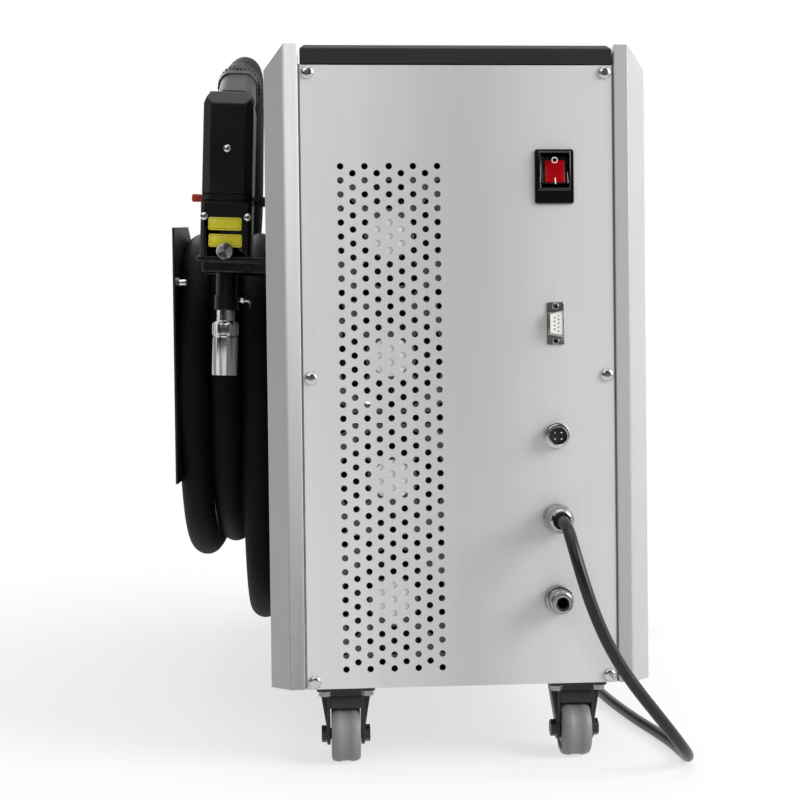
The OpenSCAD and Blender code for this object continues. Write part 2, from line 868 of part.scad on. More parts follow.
// Its frame lies a little above the middle of its flange
rocker_z = switch_z + switch_frame_up;
rocker_y = panel_inset + switch_flange_t;
module switch_bezel() {
    opening_w = switch_frame_w - 2 * switch_frame_wall;
    opening_h = switch_frame_h - 2 * switch_frame_wall;
    color([0.07, 0.07, 0.07]) placed() {
        difference() {
            union() {
                translate([fitting_x, 0, switch_z]) along_y(panel_inset - switch_flange_t, switch_flange_t)
                    rounded_square(switch_w, switch_h, switch_flange_t);
                translate([fitting_x, 0, rocker_z])
                    along_y(panel_inset - switch_frame_t, switch_frame_t + switch_body_l)
                    square([switch_frame_w, switch_frame_h] - 2 * screw_play * [1, 1], center = true);
            }
            translate([fitting_x, 0, rocker_z])
                along_y(panel_inset - switch_frame_t - over,
                    switch_frame_t + switch_body_l - switch_frame_wall)
                square([opening_w, opening_h], center = true);
        }
        translate([fitting_x, rocker_y, rocker_z])
            rod_x(-opening_w / 2 - skin, opening_w + 2 * skin, rocker_pin_d);
    }
}

module switch_rocker() {
    half_h = rocker_h / 2;
    color("crimson") placed() translate([fitting_x, rocker_y, rocker_z]) difference() {
        along_x(-rocker_w / 2, rocker_w) polygon([
            [-rocker_out, -half_h], [rocker_back, -half_h / 2], [rocker_back, half_h / 2],
            [-rocker_in, half_h], [-rocker_in + skin, 0]
        ]);
        rod_x(-rocker_w, 2 * rocker_w, rocker_pin_d + 2 * rocker_play);
    }
}

data_flange_t = 1;
data_mouth_l = 19;
data_mouth_w = 10.6;
data_mouth_t = 5;
data_wall = 0.7;
contact_pitch = 2.77;
contact_d = 1.2;
jack_d = data_hole_d + 2 * data_wall;
// Data connector: its long side is up the panel, its wide row towards +X
function d_outline(l, w) = [
    [w / 2, -l / 2], [w / 2, l / 2], [-w / 2, l / 2 - w / 5], [-w / 2, w / 5 - l / 2]
];
module data_connector_shell() {
    flange_y = panel_inset - data_flange_t;
    color("silver") placed() translate([fitting_x, 0, data_z]) difference() {
        union() {
            along_y(flange_y, data_flange_t) rounded_square(data_flange_w, data_flange_l, data_flange_t);
            along_y(flange_y - data_mouth_t, data_mouth_t) polygon(d_outline(data_mouth_l, data_mouth_w));
            for (z = [-1, 1]) translate([0, 0, z * data_hole_span / 2])
                rod_y(panel_inset, data_mouth_t, jack_d);
        }
        along_y(flange_y - data_mouth_t - over, data_mouth_t + data_flange_t + 2 * over)
            polygon(inset_outline(d_outline(data_mouth_l, data_mouth_w), data_wall));
        for (z = [-1, 1]) translate([0, 0, z * data_hole_span / 2])
            rod_y(flange_y - over, data_mouth_t + data_flange_t + 2 * over, data_hole_d);
    }
}

module data_connector_insert() {
    front_y = panel_inset - data_flange_t - data_mouth_t + data_wall;
    inner = inset_outline(d_outline(data_mouth_l, data_mouth_w), data_wall);
    color("ivory") placed() translate([fitting_x, 0, data_z]) difference() {
        along_y(front_y, 2 * data_mouth_t) polygon(inner);
        for (row = [0, 1], i = [0 : 4 - row])
            translate([contact_pitch / 2 * (1 - 2 * row), 0, (i - (4 - row) / 2) * contact_pitch])
                rod_y(front_y - over, data_mouth_t, contact_d);
    }
}

// Signal socket
signal_nut_t = 2.5;
signal_insert_d = 12.8;
signal_pin_d = 1.8;
signal_pin_circle = 6.6;
module signal_socket_shell() {
    color("silver") placed() translate([fitting_x, 0, signal_z]) difference() {
        union() {
            rod_y(panel_inset - signal_nut_t, signal_nut_t, signal_nut_d);
            rod_y(panel_inset - signal_nut_t - signal_thread_l,
                signal_nut_t + signal_thread_l + signal_thread_d / 2, signal_thread_d);
            rod_y(panel_back, signal_nut_t, signal_nut_d);
        }
        rod_y(-signal_thread_d, 2 * signal_thread_d, signal_insert_d);
    }
}

module signal_socket_insert() {
    front_y = panel_inset - signal_nut_t - signal_thread_l / 3;
    color([0.1, 0.1, 0.1]) placed() translate([fitting_x, 0, signal_z]) {
        rod_y(front_y, signal_thread_d / 2, signal_insert_d);
        for (turn = [45 : 90 : 315]) rotate([0, turn, 0]) translate([signal_pin_circle / 2, 0, 0])
            rod_y(front_y - signal_thread_l / 2, signal_thread_l / 2 + over, signal_pin_d);
    }
}

gland_shank_d = gland_mouth_d + 2 * sheet;
module cord_gland() {
    r = gland_d / 2;
    color("silver") placed() translate([fitting_x, panel_inset, gland_z]) rotate([90, 0, 0]) difference() {
        union() {
            rotate_extrude($fn = 64) polygon([
                [0, 0], [r, 0], [r, gland_l * 0.34], [r * 0.97, gland_l * 0.38],
                [r * 0.97, gland_l * 0.66], [r * 0.9, gland_l * 0.82],
                [r * 0.78, gland_l * 0.93], [gland_mouth_d / 2, gland_l], [0, gland_l]
            ]);
            translate([0, 0, -gland_shank_d]) cylinder(h = gland_shank_d, d = gland_shank_d, $fn = 48);
            translate([0, 0, -sheet - signal_nut_t]) cylinder(h = signal_nut_t, d = gland_d, $fn = 6);
        }
        translate([0, 0, -gland_shank_d - over])
            cylinder(h = gland_l + gland_shank_d + 2 * over, d = cord_d + 2 * skin, $fn = 48);
    }
}

gas_shank_d = gas_bore_d + 4 * sheet;
module gas_inlet() {
    r = gas_d / 2;
    color("silver") placed() translate([fitting_x, panel_inset, gas_z]) rotate([90, 0, 0]) difference() {
        union() {
            rotate_extrude($fn = 64) polygon([
                [0, 0], [r, 0], [r, gas_reach * 0.3], [r * 0.94, gas_reach * 0.36],
                [r * 0.82, gas_reach * 0.36], [r * 0.82, gas_reach * 0.72],
                [r * 0.76, gas_reach * 0.78], [r * 0.66, gas_reach * 0.78],
                [r * 0.66, gas_reach * 0.96], [r * 0.6, gas_reach], [0, gas_reach]
            ]);
            translate([0, 0, -gas_shank_d]) cylinder(h = gas_shank_d, d = gas_shank_d, $fn = 48);
            translate([0, 0, -sheet - signal_nut_t]) cylinder(h = signal_nut_t, d = gas_d, $fn = 6);
            translate([-valve_w / 2, -valve_w / 2, -gas_shank_d - valve_l])
                cube([valve_w, valve_w, valve_l]);
        }
        translate([0, 0, gas_reach - gas_bore_l])
            cylinder(h = gas_bore_l + over, d = gas_bore_d, $fn = 48);
    }
}

// Castors
function castor_places() = [
    for (x = [-1, 1], y = [rear_castor_y, cabinet_d - front_castor_y]) [x * castor_x, y]
];
wheel_r = wheel_d / 2;
fork_half = wheel_w / 2 + fork_gap;

module castor_plate(z) {
    translate([0, 0, z - plate_t]) linear_extrude(plate_t) difference() {
        rounded_square(plate_w, plate_w, plate_t);
        for (x = [-1, 1], y = [-1, 1])
            translate([x, y] * plate_hole_span / 2) circle(d = plate_bolt_d + 2 * screw_play, $fn = 24);
    }
}

// Two fork legs that taper from top_w at height z down to the axle, which lies y from the middle
module fork_legs(z, top_w, y) {
    eye = axle_d;
    for (s = [-1, 1]) difference() {
        along_x(s < 0 ? -fork_half - fork_t : fork_half, fork_t) {
            polygon([
                [-top_w / 2, z], [y - eye, wheel_r], [y + eye, wheel_r], [top_w / 2, z]
            ]);
            translate([y, wheel_r]) circle(eye, $fn = 48);
        }
        translate([0, y, wheel_r]) rod_x(-wheel_w, 2 * wheel_w, axle_d - over);
    }
}

module axle_bolt(y) {
    reach = fork_half + fork_t;
    translate([0, y, wheel_r]) {
        rod_x(-reach - over, 2 * reach + 2 * over, axle_d);
        for (s = [-1, 1]) translate([s * (reach + plate_head_h / 2), 0, 0]) rotate([0, 90, 0])
            cylinder(h = plate_head_h, d = 1.6 * axle_d, center = true, $fn = 6);
    }
}

module castor_wheel(y) {
    half = wheel_w / 2;
    translate([0, y, wheel_r]) rotate([0, 90, 0]) difference() {
        rotate_extrude($fn = 72) polygon([
            [0, -half], [wheel_r * 0.5, -half], [wheel_r * 0.55, tread_r / 2 - half],
            [wheel_r * 0.72, tread_r / 2 - half], [wheel_r * 0.76, -half], [wheel_r - tread_r, -half],
            [wheel_r - tread_r * 0.3, tread_r * 0.3 - half], [wheel_r, tread_r - half],
            [wheel_r, half - tread_r], [wheel_r - tread_r * 0.3, half - tread_r * 0.3],
            [wheel_r - tread_r, half], [wheel_r * 0.76, half], [wheel_r * 0.72, half - tread_r / 2],
            [wheel_r * 0.55, half - tread_r / 2], [wheel_r * 0.5, half], [0, half]
        ]);
        cylinder(h = 2 * wheel_w, d = axle_d + 2 * axle_play, center = true, $fn = 48);
    }
}

rear_fork_w = plate_hole_span - plate_head_d - 2 * skin;
web_gap = 3;
module rear_castor_forks() {
    high = floor_gap - plate_t;
    color([0.12, 0.12, 0.13]) placed() for (s = [-1, 1]) translate([s * castor_x, rear_castor_y, 0]) {
        castor_plate(floor_gap);
        fork_legs(high, rear_fork_w, 0);
        for (y = [-rear_fork_w / 2, rear_fork_w / 2 - fork_t])
            box([-fork_half, y, wheel_d + web_gap], [fork_half, y + fork_t, high]);
        axle_bolt(0);
    }
}

module at_front_castor(side) {
    translate([side * castor_x, cabinet_d - front_castor_y, 0]) children();
}

fork_top = floor_gap - plate_t - race_h;
module front_castor_plates() {
    color([0.12, 0.12, 0.13]) placed() for (s = [-1, 1]) at_front_castor(s) {
        castor_plate(floor_gap);
        translate([0, 0, fork_top + skin]) cylinder(h = race_h, d = race_d, $fn = 48);
        translate([0, 0, fork_top - plate_t - skin]) cylinder(h = race_h, d = kingpin_d, $fn = 48);
        translate([0, 0, fork_top - plate_t - 2 * skin - plate_t])
            cylinder(h = plate_t + skin, d = 1.6 * kingpin_d, $fn = 48);
    }
}

module swivel_fork(side) {
    width = 2 * (fork_half + fork_t);
    color([0.12, 0.12, 0.13]) placed() at_front_castor(side) {
        difference() {
            translate([0, 0, fork_top - plate_t]) linear_extrude(plate_t) {
                circle(d = race_d, $fn = 48);
                square([width, race_d * 0.9], center = true);
            }
            translate([0, 0, fork_top - plate_t - over])
                cylinder(h = plate_t + 2 * over, d = kingpin_d + 2 * axle_play, $fn = 48);
        }
        fork_legs(fork_top - plate_t, race_d * 0.9, -trail);
        axle_bolt(-trail);
    }
}

module castor_bolts() {
    color("silver") placed() for (at = castor_places(), x = [-1, 1], y = [-1, 1])
        translate([at.x + x * plate_hole_span / 2, at.y + y * plate_hole_span / 2, 0]) {
            translate([0, 0, floor_gap - plate_t - plate_head_h])
                cylinder(h = plate_head_h, d = plate_head_d, $fn = 6);
            translate([0, 0, floor_gap - plate_t])
                cylinder(h = plate_t + base_t + plate_head_h, d = plate_bolt_d, $fn = 24);
        }
}

// Torch
block_chamfer = 3;
housing_bevel_d = 9;
housing_shoulder = 5;
seam_t = 0.6;
seam_w = 1;
tip_l = 3;
lever_d = 2;
lever_ball_d = 4;
lever_drop = 5;
drawer_play = 0.4;
spindle_d = 3;
torch_head_d = 7.4;
torch_head_h = 1.6;
trigger_w = 11;
tip_d = 4;
button_out = 8;
// The torch's own frame: origin on its axis at the shelf, z up, -y towards the rear
torch_x = -half_w - torch_out;
module torch_frame() {
    placed() translate([torch_x, torch_y, rest_z]) rotate([0, torch_lean, 0]) children();
}

module torch_block() {
    half = block_w / 2;
    color([0.12, 0.12, 0.13]) torch_frame() difference() {
        linear_extrude(block_h) polygon([
            [block_chamfer - half, -block_front], [half - block_chamfer, -block_front],
            [half, block_chamfer - block_front], [half, block_back],
            [-half, block_back], [-half, block_chamfer - block_front]
        ]);
        box([-drawer_w / 2 - drawer_play, -block_front - over, drawer_low - drawer_play],
            [drawer_w / 2 + drawer_play, drawer_l - block_front + drawer_play,
                drawer_low + drawer_h + drawer_play]);
        translate([0, 0, -over]) cylinder(h = block_h + 2 * over, d = nozzle_inner_d, $fn = 48);
        for (x = [-1, 1]) translate([x * (half - block_chamfer), -block_front - over, block_screw_z])
            rod_y(0, 2 * panel_screw_l, panel_screw_d);
    }
}

block_screw_z = block_h - torch_head_d * 1.55;
drawer_low = 1;
module lens_drawer() {
    color([0.25, 0.25, 0.27]) torch_frame() translate([0, 0, drawer_low]) difference() {
        box([-drawer_w / 2, -block_front, 0], [drawer_w / 2, drawer_l - block_front, drawer_h]);
        translate([0, 0, -over]) cylinder(h = drawer_h + 2 * over, d = nozzle_inner_d, $fn = 48);
        translate([0, 0, drawer_h / 3]) cylinder(h = drawer_h, d = lens_d, $fn = 48);
        translate([0, 0, drawer_h / 2]) rod_y(-block_front - over, 2 * spindle_d + over,
            spindle_d + 2 * rocker_play);
    }
}

module lens_drawer_knob() {
    color("silver") torch_frame() translate([0, -block_front, drawer_low + drawer_h / 2])
        rotate([90, 0, 0]) difference() {
            union() {
                translate([0, 0, skin]) rotate_extrude($fn = 48) polygon([
                    [0, 0], [knob_d * 0.3, 0], [knob_d * 0.3, knob_l * 0.25], [knob_d / 2, knob_l * 0.25],
                    [knob_d / 2, knob_l * 0.9], [knob_d * 0.46, knob_l], [0, knob_l]
                ]);
                translate([0, 0, -2 * spindle_d + skin])
                    cylinder(h = 2 * spindle_d, d = spindle_d, $fn = 32);
            }
            translate([0, 0, knob_l - skin]) cylinder(h = knob_l, d = knob_d * 0.45, $fn = 32);
        }
}

module torch_housing() {
    half = housing_w / 2;
    top = block_h + housing_h;
    front = -block_front;
    front_outline = [
        [-half, block_h], [half, block_h], [half, top - 2 * housing_shoulder],
        [half - housing_shoulder, top], [housing_shoulder - half, top],
        [-half, top - 2 * housing_shoulder]
    ];
    side = [
        [front, block_h], [housing_back, block_h], [housing_back, top - housing_shoulder],
        [housing_back - housing_shoulder, top], [front + housing_bevel_d, top],
        [front, top - housing_bevel_h]
    ];
    plan = [
        [housing_chamfer - half, front], [half - housing_chamfer, front],
        [half, front + housing_chamfer], [half, housing_back - block_chamfer],
        [half - block_chamfer, housing_back], [block_chamfer - half, housing_back],
        [-half, housing_back - block_chamfer], [-half, front + housing_chamfer]
    ];
    color([0.1, 0.1, 0.11]) torch_frame() difference() {
        intersection() {
            along_y(front, housing_back - front) polygon(front_outline);
            along_x(-half, housing_w) polygon(side);
            translate([0, 0, block_h]) linear_extrude(housing_h) polygon(plan);
        }
        for (z = seam_heights) translate([0, 0, z]) linear_extrude(seam_w) difference() {
            square(2 * housing_w + 2 * housing_back, center = true);
            polygon(inset_outline(plan, seam_t));
        }
        translate([-half - over, button_y, button_z])
            rod_x(0, button_out + over, button_d + 2 * control_play);
        translate([0, front - over, housing_screw_z]) rod_y(0, 2 * panel_screw_l, panel_screw_d);
    }
}

seam_heights = [block_h + seam_w, block_h + housing_bevel_d - housing_bevel_h / 4];
housing_screw_z = block_h + housing_h * 0.475;
button_z = block_h + button_d * 0.65;
button_y = -block_front / 2;

module torch_button() {
    color("orangered") torch_frame() translate([-housing_w / 2, button_y, button_z]) {
        rod_x(-button_out, button_out * 2 - button_travel - over, button_d);
    }
}

// The nozzle's spigot goes up into the tube as far as the clamp ring's middle
tube_l = ring_down + ring_h / 2;
spigot_d = (tube_d + nozzle_inner_d) / 2;
module torch_tube() {
    color([0.12, 0.12, 0.13]) torch_frame() difference() {
        translate([0, 0, -tube_l]) cylinder(h = tube_l, d = tube_d, $fn = 64);
        translate([0, 0, -tube_l - over]) cylinder(h = ring_h / 2 + over, d = spigot_d, $fn = 48);
        translate([0, 0, -tube_l - over]) cylinder(h = tube_l + 2 * over, d = nozzle_inner_d, $fn = 48);
    }
}

module torch_clamp_ring() {
    color([0.1, 0.1, 0.1]) torch_frame() translate([0, 0, -ring_down]) difference() {
        union() {
            translate([0, 0, -ring_h / 2]) cylinder(h = ring_h, d = ring_d, $fn = 64);
            box([0, -lever_ball_d, -ring_h / 2], [lever_start, lever_ball_d, ring_h / 2]);
        }
        translate([0, 0, -ring_h]) cylinder(h = 2 * ring_h, d = tube_d, $fn = 64);
        box([tube_d / 4, -seam_t, -ring_h], [ring_d, seam_t, ring_h]);
        translate([ring_d / 2 - lever_d, 0, lever_up])
            rod_x(0, ring_d, lever_d + 2 * rocker_play);
    }
}

lever_up = ring_h / 6;
lever_start = (ring_d + lever_d) / 2;
module torch_clamp_lever() {
    start = lever_start;
    color("silver") torch_frame() translate([0, 0, lever_up - ring_down]) {
        rod_x(tube_d / 2 + skin, start + lever_l - tube_d / 2 - skin, lever_d);
        rod_x(start + skin, lever_ball_d, lever_ball_d);
        translate([start + lever_l, 0, -lever_drop]) cylinder(h = lever_drop, d = 0.9 * lever_d, $fn = 32);
        rod_x(start + lever_l - 0.7 * lever_d, 1.4 * lever_d, 1.4 * lever_d);
    }
}

module torch_nozzle() {
    low = -tube_l - neck_l - collar_h - nozzle_l;
    collar_low = low + nozzle_l;
    neck_low = collar_low + collar_h;
    color("silver") torch_frame() rotate_extrude($fn = 72) polygon([
        [tip_d / 2, low], [nozzle_d / 2 - tip_l / 2, low], [nozzle_d / 2, low + tip_l / 2],
        [nozzle_d / 2, collar_low - seam_w], [collar_d / 2 - seam_w, collar_low],
        [collar_d / 2, collar_low + seam_w], [collar_d / 2, neck_low - seam_w],
        [collar_d / 2 - seam_w, neck_low], [neck_d / 2, neck_low], [neck_d / 2, -tube_l],
        [spigot_d / 2, -tube_l], [spigot_d / 2, -ring_down], [nozzle_inner_d / 2, -ring_down],
        [nozzle_inner_d / 2, low + 2 * tip_l], [tip_d / 2, low + tip_l]
    ]);
}

// Grip frame: y along the grip's axis, away from the housing
module grip_frame() {
    translate([0, grip_start, grip_up]) rotate([grip_tilt, 0, 0]) children();
}

grip_from = housing_back - grip_start;
module torch_grip() {
    color([0.09, 0.09, 0.1]) torch_frame() difference() {
        grip_frame() difference() {
            union() {
                along_y(0, grip_l) rounded_square(grip_w, grip_t, grip_w / 3);
                translate([0, grip_l * 0.42, 0]) along_y(0, grip_l / 20)
                    rounded_square(grip_w + 2 * seam_w, grip_t + 2 * seam_w, grip_w / 3);
                translate([0, grip_l * 0.9, 0]) along_y(0, grip_l / 10)
                    rounded_square(grip_w + 2 * seam_w, grip_t + 2 * seam_w, grip_w / 3);
            }
            translate([0, trigger_y, -grip_t / 2])
                box([-trigger_w / 2 - control_play, -trigger_l / 2, -grip_t / 2],
                    [trigger_w / 2 + control_play, trigger_l / 2 + skin, trigger_out]);
        }
        box([-housing_w, -housing_w, 0], [housing_w, housing_back, grip_up * 2]);
    }
    color([0.09, 0.09, 0.1]) torch_frame() grip_frame()
        translate([0, trigger_y - trigger_l / 2 + trigger_out / 2, trigger_pivot_z])
        rod_x(-trigger_w, 2 * trigger_w, spindle_d);
}

trigger_y = grip_l * 0.42 - trigger_l / 2 - 2 * seam_w;
trigger_pivot_z = trigger_out / 2 - grip_t / 2;
module torch_trigger() {
    pivot_y = trigger_out / 2 - trigger_l / 2;
    color([0.7, 0.12, 0.08]) torch_frame() grip_frame()
        translate([0, trigger_y, trigger_pivot_z]) difference() {
            along_x(-trigger_w / 2, trigger_w) polygon([
                [pivot_y - spindle_d, -spindle_d], [trigger_l / 2 - 2 * over, -trigger_out * 4 / 3],
                [trigger_l / 2 - 2 * over, -trigger_out / 3],
                [pivot_y + spindle_d, spindle_d * 0.8], [pivot_y - spindle_d * 0.8, spindle_d * 0.8]
            ]);
            translate([0, pivot_y, 0]) rod_x(-trigger_w, 2 * trigger_w, spindle_d + 2 * rocker_play);
        }
}

nut_ribs = 18;
module torch_hose_nut() {
    r = hose_nut_d / 2;
    color([0.14, 0.14, 0.15]) torch_frame() grip_frame() translate([0, grip_l, 0]) rotate([-90, 0, 0])
        difference() {
            rotate_extrude($fn = 64) polygon([
                [0, 0], [r - seam_w, 0], [r, seam_w], [r, hose_nut_l - seam_w],
                [r - seam_w, hose_nut_l], [relief_d / 2, hose_nut_l],
                [hose_d / 2 + seam_w, hose_nut_l + relief_l], [0, hose_nut_l + relief_l]
            ]);
            for (i = [0 : nut_ribs - 1]) rotate(i * 360 / nut_ribs) translate([r, 0, 2 * seam_w])
                cylinder(h = hose_nut_l - 4 * seam_w, d = 2 * seam_w, $fn = 8);
        }
}

module torch_screws() {
    color("silver") torch_frame() {
        for (x = [-1, 1]) translate([x * (block_w / 2 - block_chamfer), -block_front, block_screw_z])
            pan_screw(torch_head_d, torch_head_h, panel_screw_d, panel_screw_l);
        translate([0, -block_front, housing_screw_z])
            pan_screw(torch_head_d, torch_head_h, panel_screw_d, panel_screw_l);
    }
}

rest_over = 2;
slot_play = 1;
holder_t = 3;
stop_h = 7;
// Torch holder: a shelf with a slot that is open outwards, on a bracket, and a stop above
module torch_holder() {
    wall_x = -half_w;
    reach = torch_out + block_w / 2 + rest_over;
    slot_w = tube_d + 2 * slot_play;
    color([0.22, 0.22, 0.23]) {
        difference() {
            torch_frame() difference() {
                union() {
                    box([-block_w / 2 - rest_over, -block_front, -rest_t],
                        [torch_out + over, block_back, 0]);
                    box([-block_w / 2 + rest_over, -block_front + rest_over, -rest_t - arm_t],
                        [torch_out + over, block_back - rest_over, -rest_t]);
                }
                translate([0, 0, -rest_t - arm_t - over]) linear_extrude(rest_t + arm_t + 2 * over) {
                    circle(d = slot_w, $fn = 64);
                    translate([-reach, -slot_w / 2]) square([reach, slot_w]);
                }
            }
            placed() box([wall_x - holder_t / 2, 0, 0], [0, cabinet_d, top_z]);
        }
        torch_frame() box([block_w / 2 + skin, -stop_h / 2, stop_up - stop_h],
            [torch_out - holder_t, stop_h, stop_up]);
        placed() box([wall_x - holder_t, torch_y - block_front - rest_over, rest_z - holder_down],
            [wall_x, torch_y + block_back + rest_over, rest_z + holder_up]);
    }
}

rack_plate_t = 2;
saddle_t = 3;
rack_bolt_d = 5;
rack_bolt_l = 9;
rack_bolt_z = 361.6;
rack_bolt_in = 6;
// Hose rack: a curved saddle between the side panel and an outer plate
lane_z = coil_top_z - hose_d / 2 - skin;
function saddle_arc(r) = [
    for (i = [-4 : 4])
        let (a = asin(saddle_half / saddle_r) * i / 4)
        [coil_y + r * sin(a), lane_z - saddle_r + r * cos(a)]
];
module hose_rack() {
    wall_x = -half_w;
    outer_x = -half_w - rack_reach;
    arc = saddle_arc(saddle_r);
    inner = saddle_arc(saddle_r - saddle_t);
    color([0.1, 0.1, 0.11]) placed() {
        along_x(outer_x, rack_plate_t) polygon([
            [rack_near_y, rack_low_z], [rack_far_y, rack_low_z], [rack_far_y, rack_far_z],
            [rack_peak_y, rack_peak_z], [rack_near_y, rack_near_z]
        ]);
        along_x(outer_x + rack_plate_t, rack_reach - rack_plate_t) polygon(concat(
            arc, [for (i = [len(inner) - 1 : -1 : 0]) inner[i]]
        ));
        along_x(wall_x - saddle_t, saddle_t) polygon([
            [coil_y - saddle_half, lane_z - saddle_half - saddle_t],
            [coil_y + saddle_half, lane_z - saddle_half - saddle_t],
            for (i = [len(arc) - 1 : -1 : 0]) arc[i]
        ]);
        translate([0, rack_near_y + rack_bolt_in, rack_bolt_z])
            rod_x(outer_x + rack_plate_t, rack_bolt_l, rack_bolt_d);
    }
}

outlet_flange_t = 3;
outlet_y = cabinet_d - outlet_in;
module hose_outlet() {
    wall_x = -half_w;
    axis_x = wall_x - hose_lane;
    low = outlet_z - outlet_l;
    color([0.1, 0.1, 0.11]) placed() {
        difference() {
            union() {
                translate([axis_x, outlet_y, low]) cylinder(h = outlet_l, d = outlet_d, $fn = 48);
                translate([axis_x, outlet_y, low]) sphere(d = outlet_d, $fn = 48);
                translate([0, outlet_y, low]) rod_x(axis_x, hose_lane, outlet_d);
            }
            box([wall_x, 0, 0], [0, cabinet_d, top_z]);
        }
        along_x(wall_x - outlet_flange_t, outlet_flange_t) translate([outlet_y, low])
            rounded_square(outlet_flange, outlet_flange, outlet_flange_t);
    }
}

// Tubes: a ring of points square to the path at each of its points
function path_way(path, i) = unit(path[min(i + 1, len(path) - 1)] - path[max(i - 1, 0)]);
function path_side(way, before) = unit(before - (before * way) * way);
function path_sides(path, first) = [
    for (i = 0, side = path_side(path_way(path, 0), first); i < len(path);
        i = i + 1, side = i < len(path) ? path_side(path_way(path, i), side) : side) side
];
function ring_points(path, sides, i, r, n) = [
    let (way = path_way(path, i), a = sides[i], b = cross(way, a))
    for (k = [0 : n - 1]) path[i] + r * (cos(k * 360 / n) * a + sin(k * 360 / n) * b)
];

module tube_along(path, d, n, first) {
    sides = path_sides(path, first);
    last = len(path) - 1;
    points = [for (i = [0 : last]) each ring_points(path, sides, i, d / 2, n)];
    walls = [
        for (i = [0 : last - 1], k = [0 : n - 1], half = [0, 1])
            let (a = i * n + k, b = i * n + (k + 1) % n)
            half == 0 ? [a, a + n, b + n] : [a, b + n, b]
    ];
    caps = [
        for (k = [1 : n - 2]) each [[0, k, k + 1], [last * n, last * n + k + 1, last * n + k]]
    ];
    polyhedron(points, concat(walls, caps));
}

// The least gap between stretches of one tube that are more than skip points apart
function least_gap(path, d, skip) = min([
    for (i = [0 : len(path) - 1 - skip], j = [i + skip : len(path) - 1]) norm(path[i] - path[j])
]) - d;

// Turns of the torch hose: t counts turns from the top, towards the rear and down
function ease(x) = let (c = max(0, min(1, x))) c * c * (3 - 2 * c);
function lane_of(t) = floor(t) + ease((t - floor(t) - lane_from_share) / lane_over_share);
lane_from_share = 0.52;
lane_over_share = 0.26;
function curl(v) = sign(v) * pow(abs(v), 2 / coil_power);
function low_of(t) = coil_low_z[min(floor(t), len(coil_low_z) - 1)];
function high_half(t) = coil_top_z - (coil_top_z + coil_low_z[1]) / 2;
function coil_middle(t) = (coil_top_z + coil_low_z[1]) / 2;
function hose_turn(t) = let (
        c = cos(360 * t),
        half = c > 0 ? high_half(t) : coil_middle(t) - low_of(t)
    ) [
        -half_w - hose_lane - hose_pitch * min(lane_of(t), coil_lanes),
        coil_y - coil_half_y * curl(sin(360 * t)),
        coil_middle(t) + half * curl(c)
    ];
coil_lanes = 2;
coil_rings = 24;
hose_turns_path = [
    hose_turn(0) + [0, hose_d, 0],
    for (i = [0 : coil_turns * coil_rings]) hose_turn(i / coil_rings),
    hose_turn(coil_turns) + [0, hose_d, 0]
];
echo("least gap between hose turns", least_gap(hose_turns_path, hose_d, coil_rings / 2));

module hose_turns() {
    color([0.13, 0.13, 0.14]) placed() tube_along(hose_turns_path, hose_d, 6, [1, 0, 0]);
}

// Routes of the hose's free stretches, chosen by hand
hose_machine_route = [
    [-152, 600, 190], [-152, 600, 206], [-152, 599, 223], [-152, 596, 241], [-152, 591, 262],
    [-152, 583.5, 284], [-152, 573.5, 305], [-152, 561, 325], [-152, 546, 343],
    [-152, 528, 359], [-152, 507, 374], [-152, 484, 386.5], [-152, 459, 396],
    [-152, 435, 402], [-152, 415, 405], [-152, 400, 405]
];
hose_torch_route = [
    [-205, 400, 127.7], [-205, 430, 127.7], [-205, 460, 129], [-205, 492, 133], [-205, 522, 143],
    [-204.5, 548, 159], [-204, 568, 183], [-203, 581, 212], [-201.5, 588, 245],
    [-198.5, 590, 280], [-193.5, 590, 320], [-187.5, 588, 355], [-181, 582, 390],
    [-175.5, 572, 423], [-172, 557, 455], [-170, 537, 484], [-168.5, 512, 507.5],
    [-167, 482, 527], [-165.5, 449, 543.5], [-164, 414, 556.5], [-163, 380, 565.5],
    [-163, 348, 569], [-164.5, 318, 566.5], [-167, 290, 556]
];

module hose_machine_end() {
    color([0.13, 0.13, 0.14]) placed() tube_along(hose_machine_route, hose_d, 8, [1, 0, 0]);
}

module hose_torch_end() {
    color([0.13, 0.13, 0.14]) placed() tube_along(hose_torch_route, hose_d, 8, [1, 0, 0]);
}

// Steps of the coil's tail from its last turn down to the plug, chosen by hand
cord_tail_steps = [
    [0, 0, 0], [0, 9, 0], [0, 18, -0.6], [0, 28, -3], [0, 38, -6.6], [0, 48, -9.8], [0, 58, -11.9],
    [0, 68, -12.5], [0, 77, -12.5]
];
